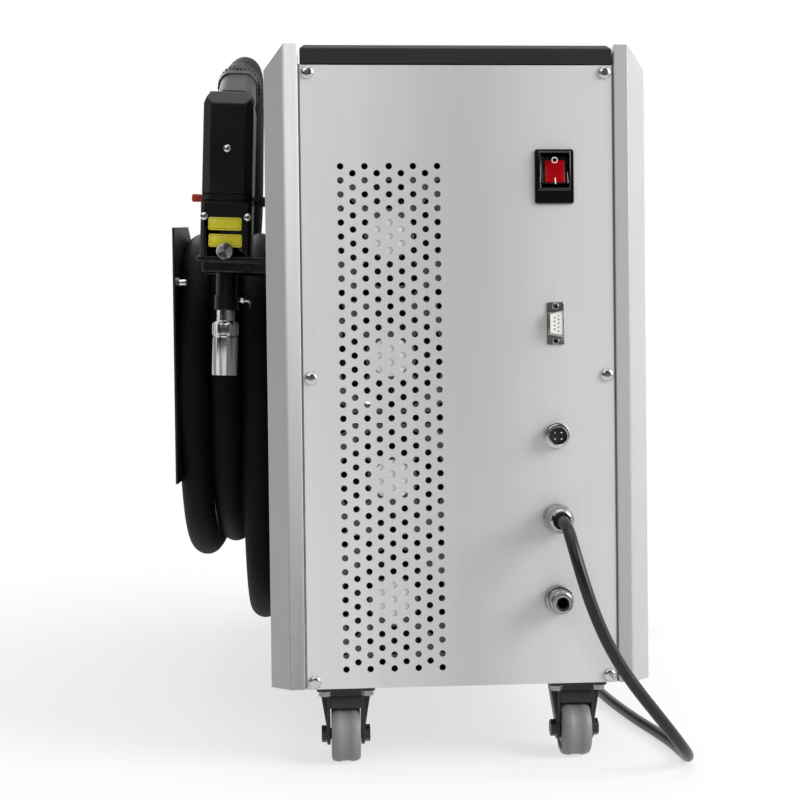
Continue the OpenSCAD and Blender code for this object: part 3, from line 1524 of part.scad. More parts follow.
// The mains cord: down from its gland, along the floor and into a coil behind the cabinet
cord_route = [
    [69.5, -2, 177.8], [69.5, -18, 177.8], [69.5, -30, 177], [70, -41, 173], [71, -50, 165],
    [73.5, -56, 153], [77.5, -59, 138], [83.5, -60, 120], [91.5, -60, 101], [102, -59, 82],
    [115, -57, 63.5], [128, -53, 47], [139.5, -47, 32.5], [149, -38, 20.5], [156, -26, 11.5],
    [160, -11, 6], [161, 6, 4.4], [160, 30, 4.4], [156.5, 60, 4.4], [151, 95, 4.4],
    [146, 135, 4.4], [142, 180, 4.4], [140, 230, 4.4], [140, 280, 4.4], [140, 330, 4.4],
    [140, 380, 4.4], [140, 430, 4.4], [140, 480, 4.4], [140, 521.5, 4.4]
];
cord_coil_place = [196, 530, 4.4];
function cord_turn(t) = let (
        part = t % (2 * cord_layer_turns),
        inward = part < cord_layer_turns ? part : 2 * cord_layer_turns - part,
        layer = floor(t / cord_layer_turns + 0.5),
        into = (t / cord_layer_turns + 0.5 - layer) * cord_layer_turns - cord_layer_turns / 2
    ) cord_coil_place + [
        -(cord_coil_r - inward * cord_pitch) * cos(360 * t),
        (cord_coil_r - inward * cord_pitch) * sin(360 * t),
        cord_layer * (t < 0.25 || t > cord_turns - 0.25
            ? floor(t / cord_layer_turns)
            : layer + min(max(2 * into, -0.5), 0.5) - 0.5)
    ];
cord_turns = 4 * cord_layer_turns;
cord_coil_end = cord_coil_place + [-cord_coil_r, 0, 3 * cord_layer];
cord_coil_path = [
    cord_coil_place + [-cord_coil_r, -cord_d, 0],
    for (i = [0 : cord_turns * coil_rings - 1]) cord_turn(i / coil_rings),
    for (at = cord_tail_steps) cord_coil_end + at
];
echo("least gap between cord turns", least_gap(cord_coil_path, cord_d, coil_rings / 2));

module mains_lead() {
    color([0.12, 0.12, 0.12]) placed() tube_along(cord_route, cord_d, 8, [1, 0, 0]);
}

module mains_coil() {
    color([0.12, 0.12, 0.12]) placed() tube_along(cord_coil_path, cord_d, 6, [1, 0, 0]);
}

// Round plug, its pins towards +Y, lying on the floor where the coil's tail ends
plug_pin_d = 4.8;
plug_pin_l = 19;
plug_pin_span = 19;
module mains_plug() {
    r = plug_d / 2;
    tail = cord_tail_steps[len(cord_tail_steps) - 1];
    color([0.12, 0.12, 0.12]) placed() translate(cord_coil_end + tail) rotate([-90, 0, 0]) {
        rotate_extrude($fn = 48) polygon([
            [0, 0], [cord_d / 2 + sheet, 0], [cord_d, plug_relief_l], [r * 0.8, plug_relief_l + r * 0.1],
            [r, plug_relief_l + r * 0.4], [r, plug_relief_l + plug_l], [0, plug_relief_l + plug_l]
        ]);
        for (x = [-1, 1]) translate([x * plug_pin_span / 2, 0, plug_relief_l + plug_l - over])
            cylinder(h = plug_pin_l + over, d = plug_pin_d, $fn = 24);
    }
}

module castor_wheel_at(side, y, offset) {
    color("dimgray") placed() translate([side * castor_x, y, 0]) castor_wheel(offset);
}

// Inside: the laser source on its finned heat sink, the power supply and the control board
inner_floor = floor_gap + base_t;
fan_space = panel_back + fan_depth;
sink_w = cabinet_w * sink_share;
sink_l = cabinet_d * sink_l_share;
supply_w = cabinet_w * supply_share;
source_gap = 3;
module laser_module() {
    left = vent_x - sink_w / 2;
    near = fan_space + fan_depth;
    low = inner_floor + fin_t;
    source_z = inner_floor + supply_h + source_gap;
    color("silver") placed() {
        box([left, near, low], [left + sink_spine, near + sink_l, low + sink_h]);
        for (i = [0 : fin_count - 1])
            translate([left, near, low + i * (sink_h - fin_t) / (fin_count - 1)])
                cube([sink_w, sink_l, fin_t]);
        for (y = [near, near + sink_l - sink_spine])
            box([left, y, inner_floor], [left + sink_w, y + sink_spine, low]);
        box([left + sink_w, near + sink_spine, source_z],
            [left + sink_w + source_w, near + source_l, source_z + source_h]);
    }
}

module power_supply() {
    near = fan_space + 2 * fan_depth;
    left = inner_half - post_w - supply_w;
    color("lightgray") placed() {
        box([left, near + supply_in, inner_floor],
            [left + supply_w, near + supply_in + supply_l, inner_floor + supply_h]);
    }
}

supply_in = 15;
module control_board() {
    right = inner_half - 2 * sheet;
    near = cabinet_d - front_castor_y - plate_w / 2 - board_l - base_edge_h;
    low = inner_floor;
    color("seagreen") placed() {
        box([right - base_edge_h - board_t, near, low + base_edge_h],
            [right - base_edge_h, near + board_l, low + base_edge_h + board_h]);
        for (y = [near, near + board_l - base_edge_h])
            box([right - base_edge_h - board_t, y, low],
                [right - base_edge_h, y + base_edge_h, low + base_edge_h]);
        for (i = [0 : 3]) translate([right - base_edge_h - board_t - base_edge_h,
            near + (i + 0.5) * board_l / 4, low + base_edge_h + board_h / 2])
            rod_x(0, base_edge_h, board_l / 10);
    }
}

base_plate();
corner_posts();
rear_panel();
left_side_panel();
right_side_panel();
top_cover();
front_panel();
control_fascia();
panel_screws();
fan_frames();
fan_rotor(0);  // fan_rotor_1
fan_rotor(1);  // fan_rotor_2
fan_rotor(2);  // fan_rotor_3
fan_rotor(3);  // fan_rotor_4
switch_bezel();
switch_rocker();
data_connector_shell();
data_connector_insert();
signal_socket_shell();
signal_socket_insert();
cord_gland();
gas_inlet();
mains_lead();
mains_coil();
mains_plug();
rear_castor_forks();
castor_wheel_at(-1, rear_castor_y, 0);  // rear_left_wheel
castor_wheel_at(1, rear_castor_y, 0);  // rear_right_wheel
front_castor_plates();
swivel_fork(-1);  // front_left_fork
swivel_fork(1);  // front_right_fork
castor_wheel_at(-1, cabinet_d - front_castor_y, -trail);  // front_left_wheel
castor_wheel_at(1, cabinet_d - front_castor_y, -trail);  // front_right_wheel
castor_bolts();
torch_holder();
torch_block();
torch_housing();
torch_tube();
torch_clamp_ring();
torch_clamp_lever();
torch_nozzle();
lens_drawer();
lens_drawer_knob();
torch_button();
torch_grip();
torch_trigger();
torch_hose_nut();
torch_screws();
hose_rack();
hose_outlet();
hose_machine_end();
hose_turns();
hose_torch_end();
touch_screen();
emergency_stop();
key_switch();
start_button();
laser_module();
power_supply();
control_board();
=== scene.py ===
"""Looks of a laser welding machine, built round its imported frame.

The machine stands on z = 0 with its rear panel towards -Y and its control side towards +Y.
Every size is in metres. at() takes places from the middle of the cabinet's rear edge.
"""

import json
import math

import bmesh
import bpy
from mathutils import Matrix, Vector


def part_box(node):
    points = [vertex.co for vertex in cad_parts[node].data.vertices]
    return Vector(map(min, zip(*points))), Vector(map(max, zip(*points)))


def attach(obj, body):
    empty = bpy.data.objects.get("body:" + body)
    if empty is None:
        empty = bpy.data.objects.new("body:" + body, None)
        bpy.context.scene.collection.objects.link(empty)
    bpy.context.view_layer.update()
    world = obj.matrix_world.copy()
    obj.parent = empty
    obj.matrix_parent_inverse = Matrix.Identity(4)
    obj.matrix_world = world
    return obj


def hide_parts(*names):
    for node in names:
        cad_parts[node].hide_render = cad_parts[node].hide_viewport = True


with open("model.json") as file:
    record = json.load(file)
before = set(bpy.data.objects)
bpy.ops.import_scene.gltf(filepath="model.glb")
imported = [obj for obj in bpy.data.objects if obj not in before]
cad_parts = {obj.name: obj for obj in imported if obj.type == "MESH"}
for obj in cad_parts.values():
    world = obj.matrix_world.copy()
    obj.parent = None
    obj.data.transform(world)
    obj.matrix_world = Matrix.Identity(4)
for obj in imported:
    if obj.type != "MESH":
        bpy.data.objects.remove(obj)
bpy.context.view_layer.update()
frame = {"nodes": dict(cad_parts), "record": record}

bl_info = {
    "name": "Laser welding machine",
    "version": (1, 0, 0),
    "blender": (4, 5, 0),
    "location": "View3D > Sidebar > Welder",
    "description": "Dresses the packed frame of a wheeled laser welding machine",
    "category": "Object",
}

rear_low, rear_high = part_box("rear_panel")
side_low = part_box("left_side_panel")[0]
MIDDLE_X = (rear_low.x + rear_high.x) / 2
REAR_Y = side_low.y
HALF_W = MIDDLE_X - side_low.x
BODY_OF = {
    node: body for body, nodes in frame["record"]["behaviour"]["bodies"].items() for node in nodes
}


def middle(node):
    """The middle of a node's box."""
    return sum(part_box(node), Vector()) / 2


def at(x, y, z):
    """A point given from the middle of the cabinet's rear edge, on the floor."""
    return Vector((MIDDLE_X + x, REAR_Y + y, z))


def moved(x, y, z):
    return Matrix.Translation(at(x, y, z))


def turned(degrees, axis):
    return Matrix.Rotation(math.radians(degrees), 4, axis)


PIVOT_Y = middle("front_castor_plates").y
TO_REAR = turned(90, "X")
TO_FRONT = turned(-90, "X")
# The torch, whose z runs up its axis, and its grip, whose y runs along it to the hose
TORCH = moved(-HALF_W - 0.035, 0.133, 0.3773) @ turned(2, "Y")
GRIP = TORCH @ Matrix.Translation((0, 0.026, 0.109)) @ turned(28, "X")
TORCH_FACE = -0.023  # rear faces of the housing and the lens block, in the torch's y
# The fascia's face: z points out of it, and y runs down it to its front edge
SLOPE_ANGLE = math.degrees(math.atan2(0.1385, 0.170))
SLOPE = moved(0, 0.640, 0.380) @ turned(-SLOPE_ANGLE, "X") @ Matrix.Translation((0, 0, -0.0015))
# The row of buttons on it, and how far the outer two stand from its middle
CONTROLS_Y, CONTROLS_X = -0.052, 0.062
# The rear panel is set in by PANEL_IN, and its fittings stand over each other
PANEL_IN, FITTINGS_X = 0.0015, 0.0695
SWITCH_Z, DATA_Z, SIGNAL_Z, GLAND_Z, INLET_Z = 0.4279, 0.3182, 0.2376, 0.1778, 0.1192
REARWARD = (math.pi / 2, 0, 0)  # the turn of TO_REAR, for the repeats


def on_panel(z, proud=0.0):
    """A place among the rear fittings at height z, whose own z points out of the panel."""
    return moved(FITTINGS_X, PANEL_IN - proud, z) @ TO_REAR


def on_torch(x, y, z):
    return TORCH @ Matrix.Translation((x, y, z))


def on_slope(x, y, z=0.0):
    return SLOPE @ Matrix.Translation((x, y, z))


def linear(red, green, blue):
    """A colour written in 0 to 255 as the shader's linear numbers."""
    return tuple(
        c / 12.92 if c <= 0.04045 else ((c + 0.055) / 1.055) ** 2.4
        for c in (red / 255, green / 255, blue / 255)
    )


# ---------------------------------------------------------------- settings


def colour(name, words, red, green, blue):
    return bpy.props.FloatVectorProperty(
        name=name, description=words, subtype="COLOR", size=3, min=0, max=1,
        default=linear(red, green, blue),
    )


def size(name, words, value):
    return bpy.props.FloatProperty(
        name=name, description=words, default=value, unit="LENGTH", min=0, precision=4
    )


def share(name, words, value):
    return bpy.props.FloatProperty(
        name=name, description=words, default=value, subtype="FACTOR", min=0, max=1
    )


class CabinetLook(bpy.types.PropertyGroup):
    side: colour("Side panels", "Coat of the two side panels", 174, 174, 174)
    sheet: colour("Rear and front panel", "Satin sheet between the side panels", 198, 198, 198)
    cover: colour("Top cover", "Coat of the top cover and fascia", 28, 28, 29)
    steel: colour("Frame steel", "Zinc plate of the base and posts", 158, 160, 163)
    bright: colour("Bright metal", "Nickel plate of screws and connectors", 205, 204, 200)
    round: size("Edge rounding", "Radius of the sheet's bent edges", 0.0006)


class RearLook(bpy.types.PropertyGroup):
    lens: colour("Switch lens", "Red lens of the power switch", 136, 0, 6)
    mark: colour("Switch marks", "Printed ring and bar of the power switch", 235, 232, 225)
    insulator: colour("Insulator", "Pale insulator of the data connector", 214, 212, 206)
    fan: colour("Fan plastic", "Frames of the four fans", 70, 70, 72)
    disc: colour("Fan discs", "Blank discs on the fans' motors", 205, 205, 203)
    mark_d: size("Ring mark", "Diameter of the switch's ring mark", 0.0044)


class CastorLook(bpy.types.PropertyGroup):
    fork: colour("Forks", "Painted castor forks", 16, 16, 17)
    tyre: colour("Wheels", "Grey moulded wheels", 126, 127, 129)
    groove: size("Tread groove", "Depth of the hollow round the tread", 0.0005)


class TorchLook(bpy.types.PropertyGroup):
    body: colour("Torch", "Satin black torch body", 11, 11, 12)
    plate: colour("Plates", "Two blank plates on the lens block", 222, 210, 36)
    button: colour("Button", "Push button on the torch", 158, 36, 20)
    nozzle: colour("Nozzle", "Bright nozzle", 214, 214, 213)
    plate_w: size("Plate width", "Width of a blank plate", 0.0260)
    plate_h: size("Plate height", "Height of a blank plate", 0.0101)


class CordLook(bpy.types.PropertyGroup):
    cord: colour("Mains cord", "Rubber sheath of the mains cord", 18, 18, 19)
    hose: colour("Hose sleeve", "Woven sleeve over the torch hose", 6, 6, 7)
    cord_d: size("Cord diameter", "Diameter of the mains cord", 0.0085)
    cord_l: size("Cord length", "Real length of the mains cord", 3.24)
    hose_d: size("Hose diameter", "Diameter of the torch hose", 0.025)
    hose_l: size("Hose length", "Real length of the torch hose", 3.91)
    sleeve: size("Sleeve thickness", "How far the woven sleeve stands off the hose", 0.0010)


class ControlLook(bpy.types.PropertyGroup):
    stop: colour("Emergency stop", "Red head of the emergency stop", 186, 22, 20)
    start: colour("Start button", "Green start button", 34, 136, 66)
    glass: colour("Screen", "Dark glass of the touch screen", 10, 12, 14)
    board: colour("Circuit board", "Lacquer of the control board", 22, 92, 52)


class StageLook(bpy.types.PropertyGroup):
    floor: colour("Floor", "Pale floor and backdrop", 243, 243, 243)
    lens: size("Focal length", "Focal length of the camera", 0.06305)
    sky: share("Sky light", "Strength of the even light from all round", 0.36)


# ---------------------------------------------------------------- shaders


def maths(operation, swapped=False):
    """A method that adds one Math node, with its two numbers in order or swapped."""

    def apply(self, other=0.0):
        pair = (other, self) if swapped else (self, other)
        return self.finish.add("ShaderNodeMath", {"operation": operation}, dict(enumerate(pair)))

    return apply


class Value:
    """A number from a node. Sums with it are written as sums."""

    def __init__(self, finish, socket):
        self.finish, self.socket = finish, socket

    __add__ = __radd__ = maths("ADD")
    __mul__ = __rmul__ = maths("MULTIPLY")
    __sub__, __rsub__ = maths("SUBTRACT"), maths("SUBTRACT", True)
    __pow__, __abs__ = maths("POWER"), maths("ABSOLUTE")
    most, sine, around = maths("MAXIMUM"), maths("SINE"), maths("ARCTAN2")

    def ramp(self, low, high, start=0.0, end=1.0):
        """Eased from start to end while this value goes from low to high."""
        return self.finish.add(
            "ShaderNodeMapRange", {"interpolation_type": "SMOOTHSTEP"},
            {0: self, 1: low, 2: high, 3: start, 4: end},
        )


class Finish:
    """One material, or the world: its node tree, and the shader that its look goes into."""

    def __init__(self, name, kind="materials"):
        self.material = getattr(bpy.data, kind).new(name)
        self.material.use_nodes = True
        self.tree = self.material.node_tree
        self.tree.nodes.clear()

    def add(self, kind, settings=None, inputs=None, output=0):
        """Adds a node: its settings first, then the values or links of its sockets."""
        made = self.tree.nodes.new(kind)
        for name, value in (settings or {}).items():
            setattr(made, name, value)
        for key, value in (inputs or {}).items():
            socket = made.inputs[key]
            if isinstance(value, Value):
                self.tree.links.new(value.socket, socket)
            elif hasattr(value, "__len__") and len(socket.default_value) == 4 > len(value):
                socket.default_value = (*value, 1)
            else:
                socket.default_value = value
        return Value(self, made.outputs[output]) if made.outputs else None

    def place(self, output="Object"):
        """Coordinates on the piece: its own, or its UVs."""
        return self.add("ShaderNodeTexCoord", output=output)

    def noise(self, scale, detail, stretch=(1, 1, 1), offset=(0, 0, 0), rough=0.5):
        """Noise, whose pattern is the finer along an axis the more that axis is stretched."""
        where = self.add("ShaderNodeMapping", inputs={0: self.place(), 1: offset, 3: stretch})
        return self.add("ShaderNodeTexNoise", inputs={
            "Vector": where, "Scale": scale, "Detail": detail, "Roughness": rough})

    def mix(self, amount, first, second):
        """A colour between two, by amount."""
        return self.add(
            "ShaderNodeMix", {"data_type": "RGBA"}, {0: amount, 6: first, 7: second}, 2
        )

    def axes(self, vector):
        """The three parts of a vector."""
        parts = self.add("ShaderNodeSeparateXYZ", inputs={0: vector}).socket.node.outputs
        return [Value(self, parts[i]) for i in range(3)]

    def about(self, centre, axis):
        """The offset from a line through centre, turned a quarter about it, and its length."""
        def vectors(operation, output, *inputs):
            return self.add("ShaderNodeVectorMath", {"operation": operation},
                            dict(enumerate(inputs)), output)

        offset = vectors("SUBTRACT", "Vector", self.place(), tuple(centre))
        across = vectors("CROSS_PRODUCT", "Vector", offset, tuple(axis))
        return across, vectors("LENGTH", "Value", across)

    def worn(self):
        """1 on the rounded edges that dress() marks, broken up by noise."""
        edge = self.add(
            "ShaderNodeAttribute", {"attribute_type": "GEOMETRY", "attribute_name": "edge"},
            output="Fac",
        )
        return edge * self.noise(160, 4).ramp(0.35, 0.65, 0.25, 1.0)

    def bump(self, height, depth, strength):
        return self.add(
            "ShaderNodeBump", inputs={"Height": height, "Distance": depth, "Strength": strength}
        )

    def shine(self, base, roughness, metallic=0.0, normal=None, **constants):
        """The shader. What varies is linked, and what is the same all over is set on it."""
        inputs = {"Base Color": base, "Roughness": roughness, "Metallic": metallic}
        if normal:
            inputs["Normal"] = normal
        for key, value in constants.items():
            inputs[key.replace("_", " ").title().replace("Ior", "IOR")] = value
        shader = self.add("ShaderNodeBsdfPrincipled", inputs=inputs)
        self.add("ShaderNodeOutputMaterial", inputs={"Surface": shader})
        return self.material


def tone(base, factor):
    return tuple(min(1.0, c * factor) for c in base)


def painted(f, mixed, base, patch, roughness=0.42, peel=0.00005, sheen=0.5):
    """Ends a powder paint: fine orange peel, and edges rubbed smoother and lighter."""
    worn = f.worn()
    return f.shine(
        f.mix(worn * 0.35, mixed, tone(base, 1.25)),
        patch * 0.1 + (roughness - 0.05) - worn * 0.08,
        normal=f.bump(f.noise(700, 3), peel, 0.55), specular_ior_level=sheen,
    )


def powder_coat(name, base, *settings):
    """Baked powder paint with a few softer patches."""
    f = Finish(name)
    patch = f.noise(9, 2)
    mixed = f.mix(patch.ramp(0.3, 0.7), tone(base, 0.965), tone(base, 1.02))
    return painted(f, mixed, base, patch, *settings)


def side_coat_painted_reflection(name, base):
    """Powder paint on the side panels, with painted reflection and shade on their rear edges:
    the left one is painted lighter towards its top, and the right one a little darker all the way."""
    f = Finish(name)
    x, y, z = f.axes(f.place())
    # painted reflection: left picks the left panel, and streak breaks its painted light into
    # streaks
    left, streak = (x - MIDDLE_X).ramp(-0.02, 0.02, 1.0, 0.0), f.noise(1, 4, stretch=(300, 300, 9))
    patch = f.noise(9, 2)
    mixed = f.mix(patch.ramp(0.3, 0.7), tone(base, 0.92), tone(base, 0.98))
    # painted light and shade: the left rear edge is painted dark at its foot and light at its top
    painted_light_rising = f.mix(z.ramp(0.02, 0.54), tone(base, 0.56), tone(base, 1.66))
    # painted shade: the right rear edge is painted at 0.82 of the coat
    rear = f.mix(left, tone(base, 0.82), f.mix(streak.ramp(0.3, 0.75) * 0.3, painted_light_rising, base))
    mixed = f.mix((y - REAR_Y).ramp(0.0003, 0.0012, 1.0, 0.0), mixed, rear)
    return painted(f, mixed, base, patch)


def satin_sheet_painted_reflection(name, base, roughness=0.38, metal=0.25, painted_band_x=0.045):
    """Rolled sheet with an even grain up and down, under a thin clear coat. Its colour holds a
    painted reflection: darker along a band whose distance from the origin in x the last argument
    gives, and lighter away from it."""
    f = Finish(name)
    x = f.axes(f.place())[0]
    # painted reflection: away is 0 on the painted dark band and 1 off it
    away = abs(x - painted_band_x).ramp(0.0, 0.11)
    lines = f.noise(1.0, 6, stretch=(1500, 1500, 14), rough=0.62)
    broad = f.noise(1.0, 3, stretch=(38, 38, 1.1), offset=(3, 1, 7))
    cloud, worn = f.noise(5, 3, offset=(1, 5, 2)), f.worn()
    mixed = f.mix(broad.ramp(0.3, 0.72), tone(base, 0.965), tone(base, 1.02))
    # painted reflection: the colour is mixed with black on the band and with white off it
    mixed = f.mix(away, f.mix(0.15, mixed, (0, 0, 0)), f.mix(0.14, mixed, (1, 1, 1)))
    mixed = f.mix(lines.ramp(0.3, 0.7) * 0.3, mixed, tone(base, 0.93))
    mixed = f.mix(worn * 0.4, mixed, tone(base, 1.3))
    return f.shine(
        mixed, cloud * 0.1 + lines * 0.08 + (roughness - 0.09), metal,
        normal=f.bump(lines, 0.00002, 0.35), coat_weight=0.12, coat_roughness=0.3,
    )


def plated(name, base, roughness, grain=260, dull=0.18):
    """Plated metal: small scratches, and a duller film in patches."""
    f = Finish(name)
    film, scratch = f.noise(55, 4), f.noise(grain, 5, stretch=(1, 1, 6), rough=0.7)
    mixed = f.mix(film.ramp(0.35, 0.75), base, tone(base, 0.84))
    return f.shine(
        mixed, film * dull + scratch * 0.07 + (roughness - dull / 2), 1.0,
        normal=f.bump(scratch, 0.00003, 0.25),
    )


def turned_metal_painted_reflection(name, base, centre, axis, pitch=0.0005, roughness=0.24):
    """A turned face: fine rings round an axis that runs through centre, and a painted reflection
    in its colour: lighter and darker sectors round the axis, where a turned face's shine falls."""
    f = Finish(name)
    across, radius = f.about(centre, axis)
    x, _, z = f.axes(across)
    turn = x.around(z)
    # painted reflection: the colour is dark in some sectors round the axis and bright in others
    painted_reflection_sectors = ((turn * 2 + 0.9).sine() + (turn * 5 + 1.3).sine() * 0.5).ramp(-0.9, 1.0)
    rings = (radius * (math.tau / pitch)).sine()
    film = f.noise(120, 3)
    return f.shine(
        f.mix(painted_reflection_sectors, tone(base, 0.22), base), film * 0.12 + roughness, 1.0,
        normal=f.bump(rings, 0.00001, 0.3),
    )


def streaked_metal_painted_reflection(name, base, roughness=0.16):
    """Polished metal drawn lengthwise: light and dark streaks run up and down it. They are drawing
    marks and also a painted reflection of light and dark strips.
    """
    f = Finish(name)
    streak = f.noise(1, 2, stretch=(430, 430, 5), offset=(2, 0, 1))
    film = f.noise(120, 3)
    # drawing marks and painted reflection: the streaks take the colour down to a quarter
    mixed = f.mix(streak.ramp(0.38, 0.58), tone(base, 0.26), base)
    return f.shine(
        f.mix(film * 0.3, mixed, tone(base, 0.7)), film * 0.08 + roughness, 1.0,
        normal=f.bump(streak, 0.00004, 0.3),
    )


def bored_metal_painted_shade(name, base, centre, axis, bore_r, roughness=0.16):
    """Bright turned metal with painted shade inside its bore, where it is black and dull."""
    f = Finish(name)
    _, radius = f.about(centre, axis)
    # painted shade: inside is 1 in the bore, where the colour goes black and the shine goes out
    inside, film = radius.ramp(bore_r * 1.06, bore_r, 0.0, 1.0), f.noise(120, 3)
    bright = f.mix(film, base, tone(base, 0.82))
    return f.shine(
        f.mix(inside, bright, (0.006, 0.006, 0.006)), film * 0.1 + roughness + inside * 0.6,
        1 - inside, normal=f.bump(f.noise(300, 4), 0.00003, 0.25),
    )


def moulded(name, base, roughness, grain=1500, depth=0.00003, coat=0.0, gloss=0.5):
    """Moulded plastic or hard rubber: an etched grain, and wear on its edges."""
    f = Finish(name)
    etched, patch, worn = f.noise(grain, 2), f.noise(24, 3), f.worn()
    mixed = f.mix(patch.ramp(0.35, 0.7), tone(base, 0.92), tone(base, 1.1))
    mixed = f.mix(worn * 0.3, mixed, tone(base, 2.2))
    return f.shine(
        mixed, patch * 0.12 + (roughness - 0.06) - worn * 0.1, normal=f.bump(etched, depth, 0.4),
        coat_weight=coat, coat_roughness=0.08, specular_ior_level=gloss,
    )


def black_anodised(name, base, roughness=0.36, edge=5.0):
    """Blasted and anodised metal: a dry fine grain that goes grey along its worn edges. A large
    edge also paints a highlight along them.
    """
    f = Finish(name)
    grain, patch, worn = f.noise(2200, 2), f.noise(40, 3), f.worn()
    mixed = f.mix(patch.ramp(0.3, 0.7), tone(base, 0.85), tone(base, 1.2))
    # edge is how much lighter the worn edges go; a large one paints a highlight as well
    mixed = f.mix(worn * 0.6, mixed, tone(base, edge))
    return f.shine(
        mixed, patch * 0.14 + (roughness - 0.07) - worn * 0.06, 0.1,
        normal=f.bump(grain, 0.00002, 0.4), specular_ior_level=0.24,
    )


def woven_sleeve(name, base, turns, rows):
    """A braided sleeve round a hose: two sets of flat strands that cross, along its UVs."""
    f = Finish(name)
    u, v, _ = f.axes(f.place("UV"))
    one = ((u * turns + v * rows) * math.tau).sine()
    two = ((u * turns - v * rows) * math.tau).sine()
    checker = (((u * turns) * math.tau).sine() * ((v * rows) * math.tau).sine()).ramp(-0.25, 0.25)
    strands = abs(one) * checker + abs(two) * (1 - checker)
    patch = f.noise(30, 3)
    mixed = f.mix(strands.ramp(0.1, 0.8), tone(base, 0.35), tone(base, 1.35))
    mixed = f.mix(patch.ramp(0.45, 0.8) * 0.3, mixed, tone(base, 2.4))
    return f.shine(
        mixed, patch * 0.15 + 0.55, normal=f.bump(strands, 0.0005, 0.7),
        specular_ior_level=0.12,
    )


def cord_sheath(name, base):
    """A rubber sheath with faint lengthwise drawing marks and dust."""
    f = Finish(name)
    u = f.axes(f.place("UV"))[0]
    marks = ((u * 14) * math.tau).sine() * 0.5 + 0.5
    dust, fine = f.noise(60, 4), f.noise(900, 2)
    mixed = f.mix(dust.ramp(0.4, 0.75), base, tone(base, 1.6))
    return f.shine(
        mixed, dust * 0.15 + 0.24, normal=f.bump(marks * 0.4 + fine, 0.00005, 0.5),
        specular_ior_level=0.35,
    )


def clear_lens(name, base, roughness, glow):
    """A tinted lens: smooth, its tint a little uneven, with a hard gloss."""
    f = Finish(name)
    fleck, swirl = f.noise(420, 3), f.noise(70, 2)
    mixed = f.mix(swirl.ramp(0.3, 0.7), tone(base, 0.8), tone(base, 1.1))
    return f.shine(
        mixed, fleck * 0.08 + roughness, normal=f.bump(swirl, 0.00006, 0.3),
        specular_ior_level=0.1, emission_strength=glow, emission_color=base,
    )


def dark_glass(name, base):
    """Glass over a dark display: a mirror-like face with faint smears."""
    f = Finish(name)
    smear = f.noise(14, 4, stretch=(1, 3, 1))
    return f.shine(
        f.mix(smear.ramp(0.4, 0.8), base, tone(base, 1.6)), smear * 0.12 + 0.03,
        normal=f.bump(smear, 0.00001, 0.1), coat_weight=0.5, coat_roughness=0.03, ior=1.5,
    )


def printed(name, base, roughness=0.4):
    """Screen-printed or enamelled colour, slightly uneven."""
    f = Finish(name)
    spot = f.noise(500, 4)
    return f.shine(
        f.mix(spot.ramp(0.35, 0.75), base, tone(base, 0.9)), spot * 0.15 + (roughness - 0.07),
        normal=f.bump(spot, 0.00001, 0.3),
    )


def circuit_lacquer(name, base):
    """Solder lacquer over copper tracks: paler tracks run up and along the board."""
    f = Finish(name)
    _, y, z = f.axes(f.place())
    bend = f.noise(18, 1)
    tracks = ((y + bend * 0.05) * 1400).sine().ramp(0.55, 0.75)
    cross = ((z + bend * 0.03) * 900).sine().ramp(0.7, 0.85)
    copper = tracks.most(cross)
    return f.shine(
        f.mix(copper * 0.5, base, tone(base, 2.2)), 0.32 + copper * 0.08,
        normal=f.bump(copper, 0.00004, 0.5), coat_weight=0.3, coat_roughness=0.15,
    )


# ---------------------------------------------------------------- meshes


def lathe(bm, profile, segments, place=None, flutes=0, depth=0.0):
    """A form of revolution about local z from (radius, height) points, closed at both ends
    or into itself. Flutes press shallow hollows into its sides."""
    place = place or Matrix()
    rings = []
    for radius, height in profile:
        count = segments if radius > 1e-7 else 1
        ring = []
        for k in range(count):
            turn = math.tau * k / segments
            r = radius - depth * (1 - math.cos(flutes * turn)) / 2 if flutes else radius
            ring.append(bm.verts.new(place @ Vector((
                max(r, 0) * math.cos(turn), max(r, 0) * math.sin(turn), height))))
        rings.append(ring)
    pairs = list(zip(rings, rings[1:]))
    if profile[0][0] > 1e-7 and profile[-1][0] > 1e-7:
        pairs.append((rings[-1], rings[0]))
    for low, high in pairs:
        for k in range(segments):
            n = k + 1
            corners = dict.fromkeys((
                low[k % len(low)], low[n % len(low)], high[n % len(high)], high[k % len(high)]
            ))
            if len(corners) > 2:
                bm.faces.new(list(corners))
    return bm


def prism(bm, outline, low, high, place=None):
    """An outline in x and y, drawn out along local z."""
    place = place or Matrix()
    ends = [[bm.verts.new(place @ Vector((x, y, z))) for x, y in outline] for z in (low, high)]
    count = len(outline)
    bm.faces.new(ends[0][::-1])
    bm.faces.new(ends[1])
    for k in range(count):
        n = (k + 1) % count
        bm.faces.new((ends[0][k], ends[0][n], ends[1][n], ends[1][k]))
    return bm


def block(bm, low, high, place=None):
    (x0, y0, z0), (x1, y1, z1) = low, high
    return prism(bm, [(x0, y0), (x1, y0), (x1, y1), (x0, y1)], z0, z1, place)


def rounded(width, height, radius, steps=6):
    """A rectangle's outline with round corners."""
    corners = [(1, 1, 0), (-1, 1, 90), (-1, -1, 180), (1, -1, 270)]
    return [
        (sx * (width / 2 - radius) + radius * math.cos(math.radians(start + 90 * i / steps)),
         sy * (height / 2 - radius) + radius * math.sin(math.radians(start + 90 * i / steps)))
        for sx, sy, start in corners for i in range(steps + 1)
    ]


def polygon(count, across, start=0.0):
    return [
        (across / 2 * math.cos(math.tau * (k + start) / count),
         across / 2 * math.sin(math.tau * (k + start) / count)) for k in range(count)
    ]


SHARP_FROM = math.radians(30)


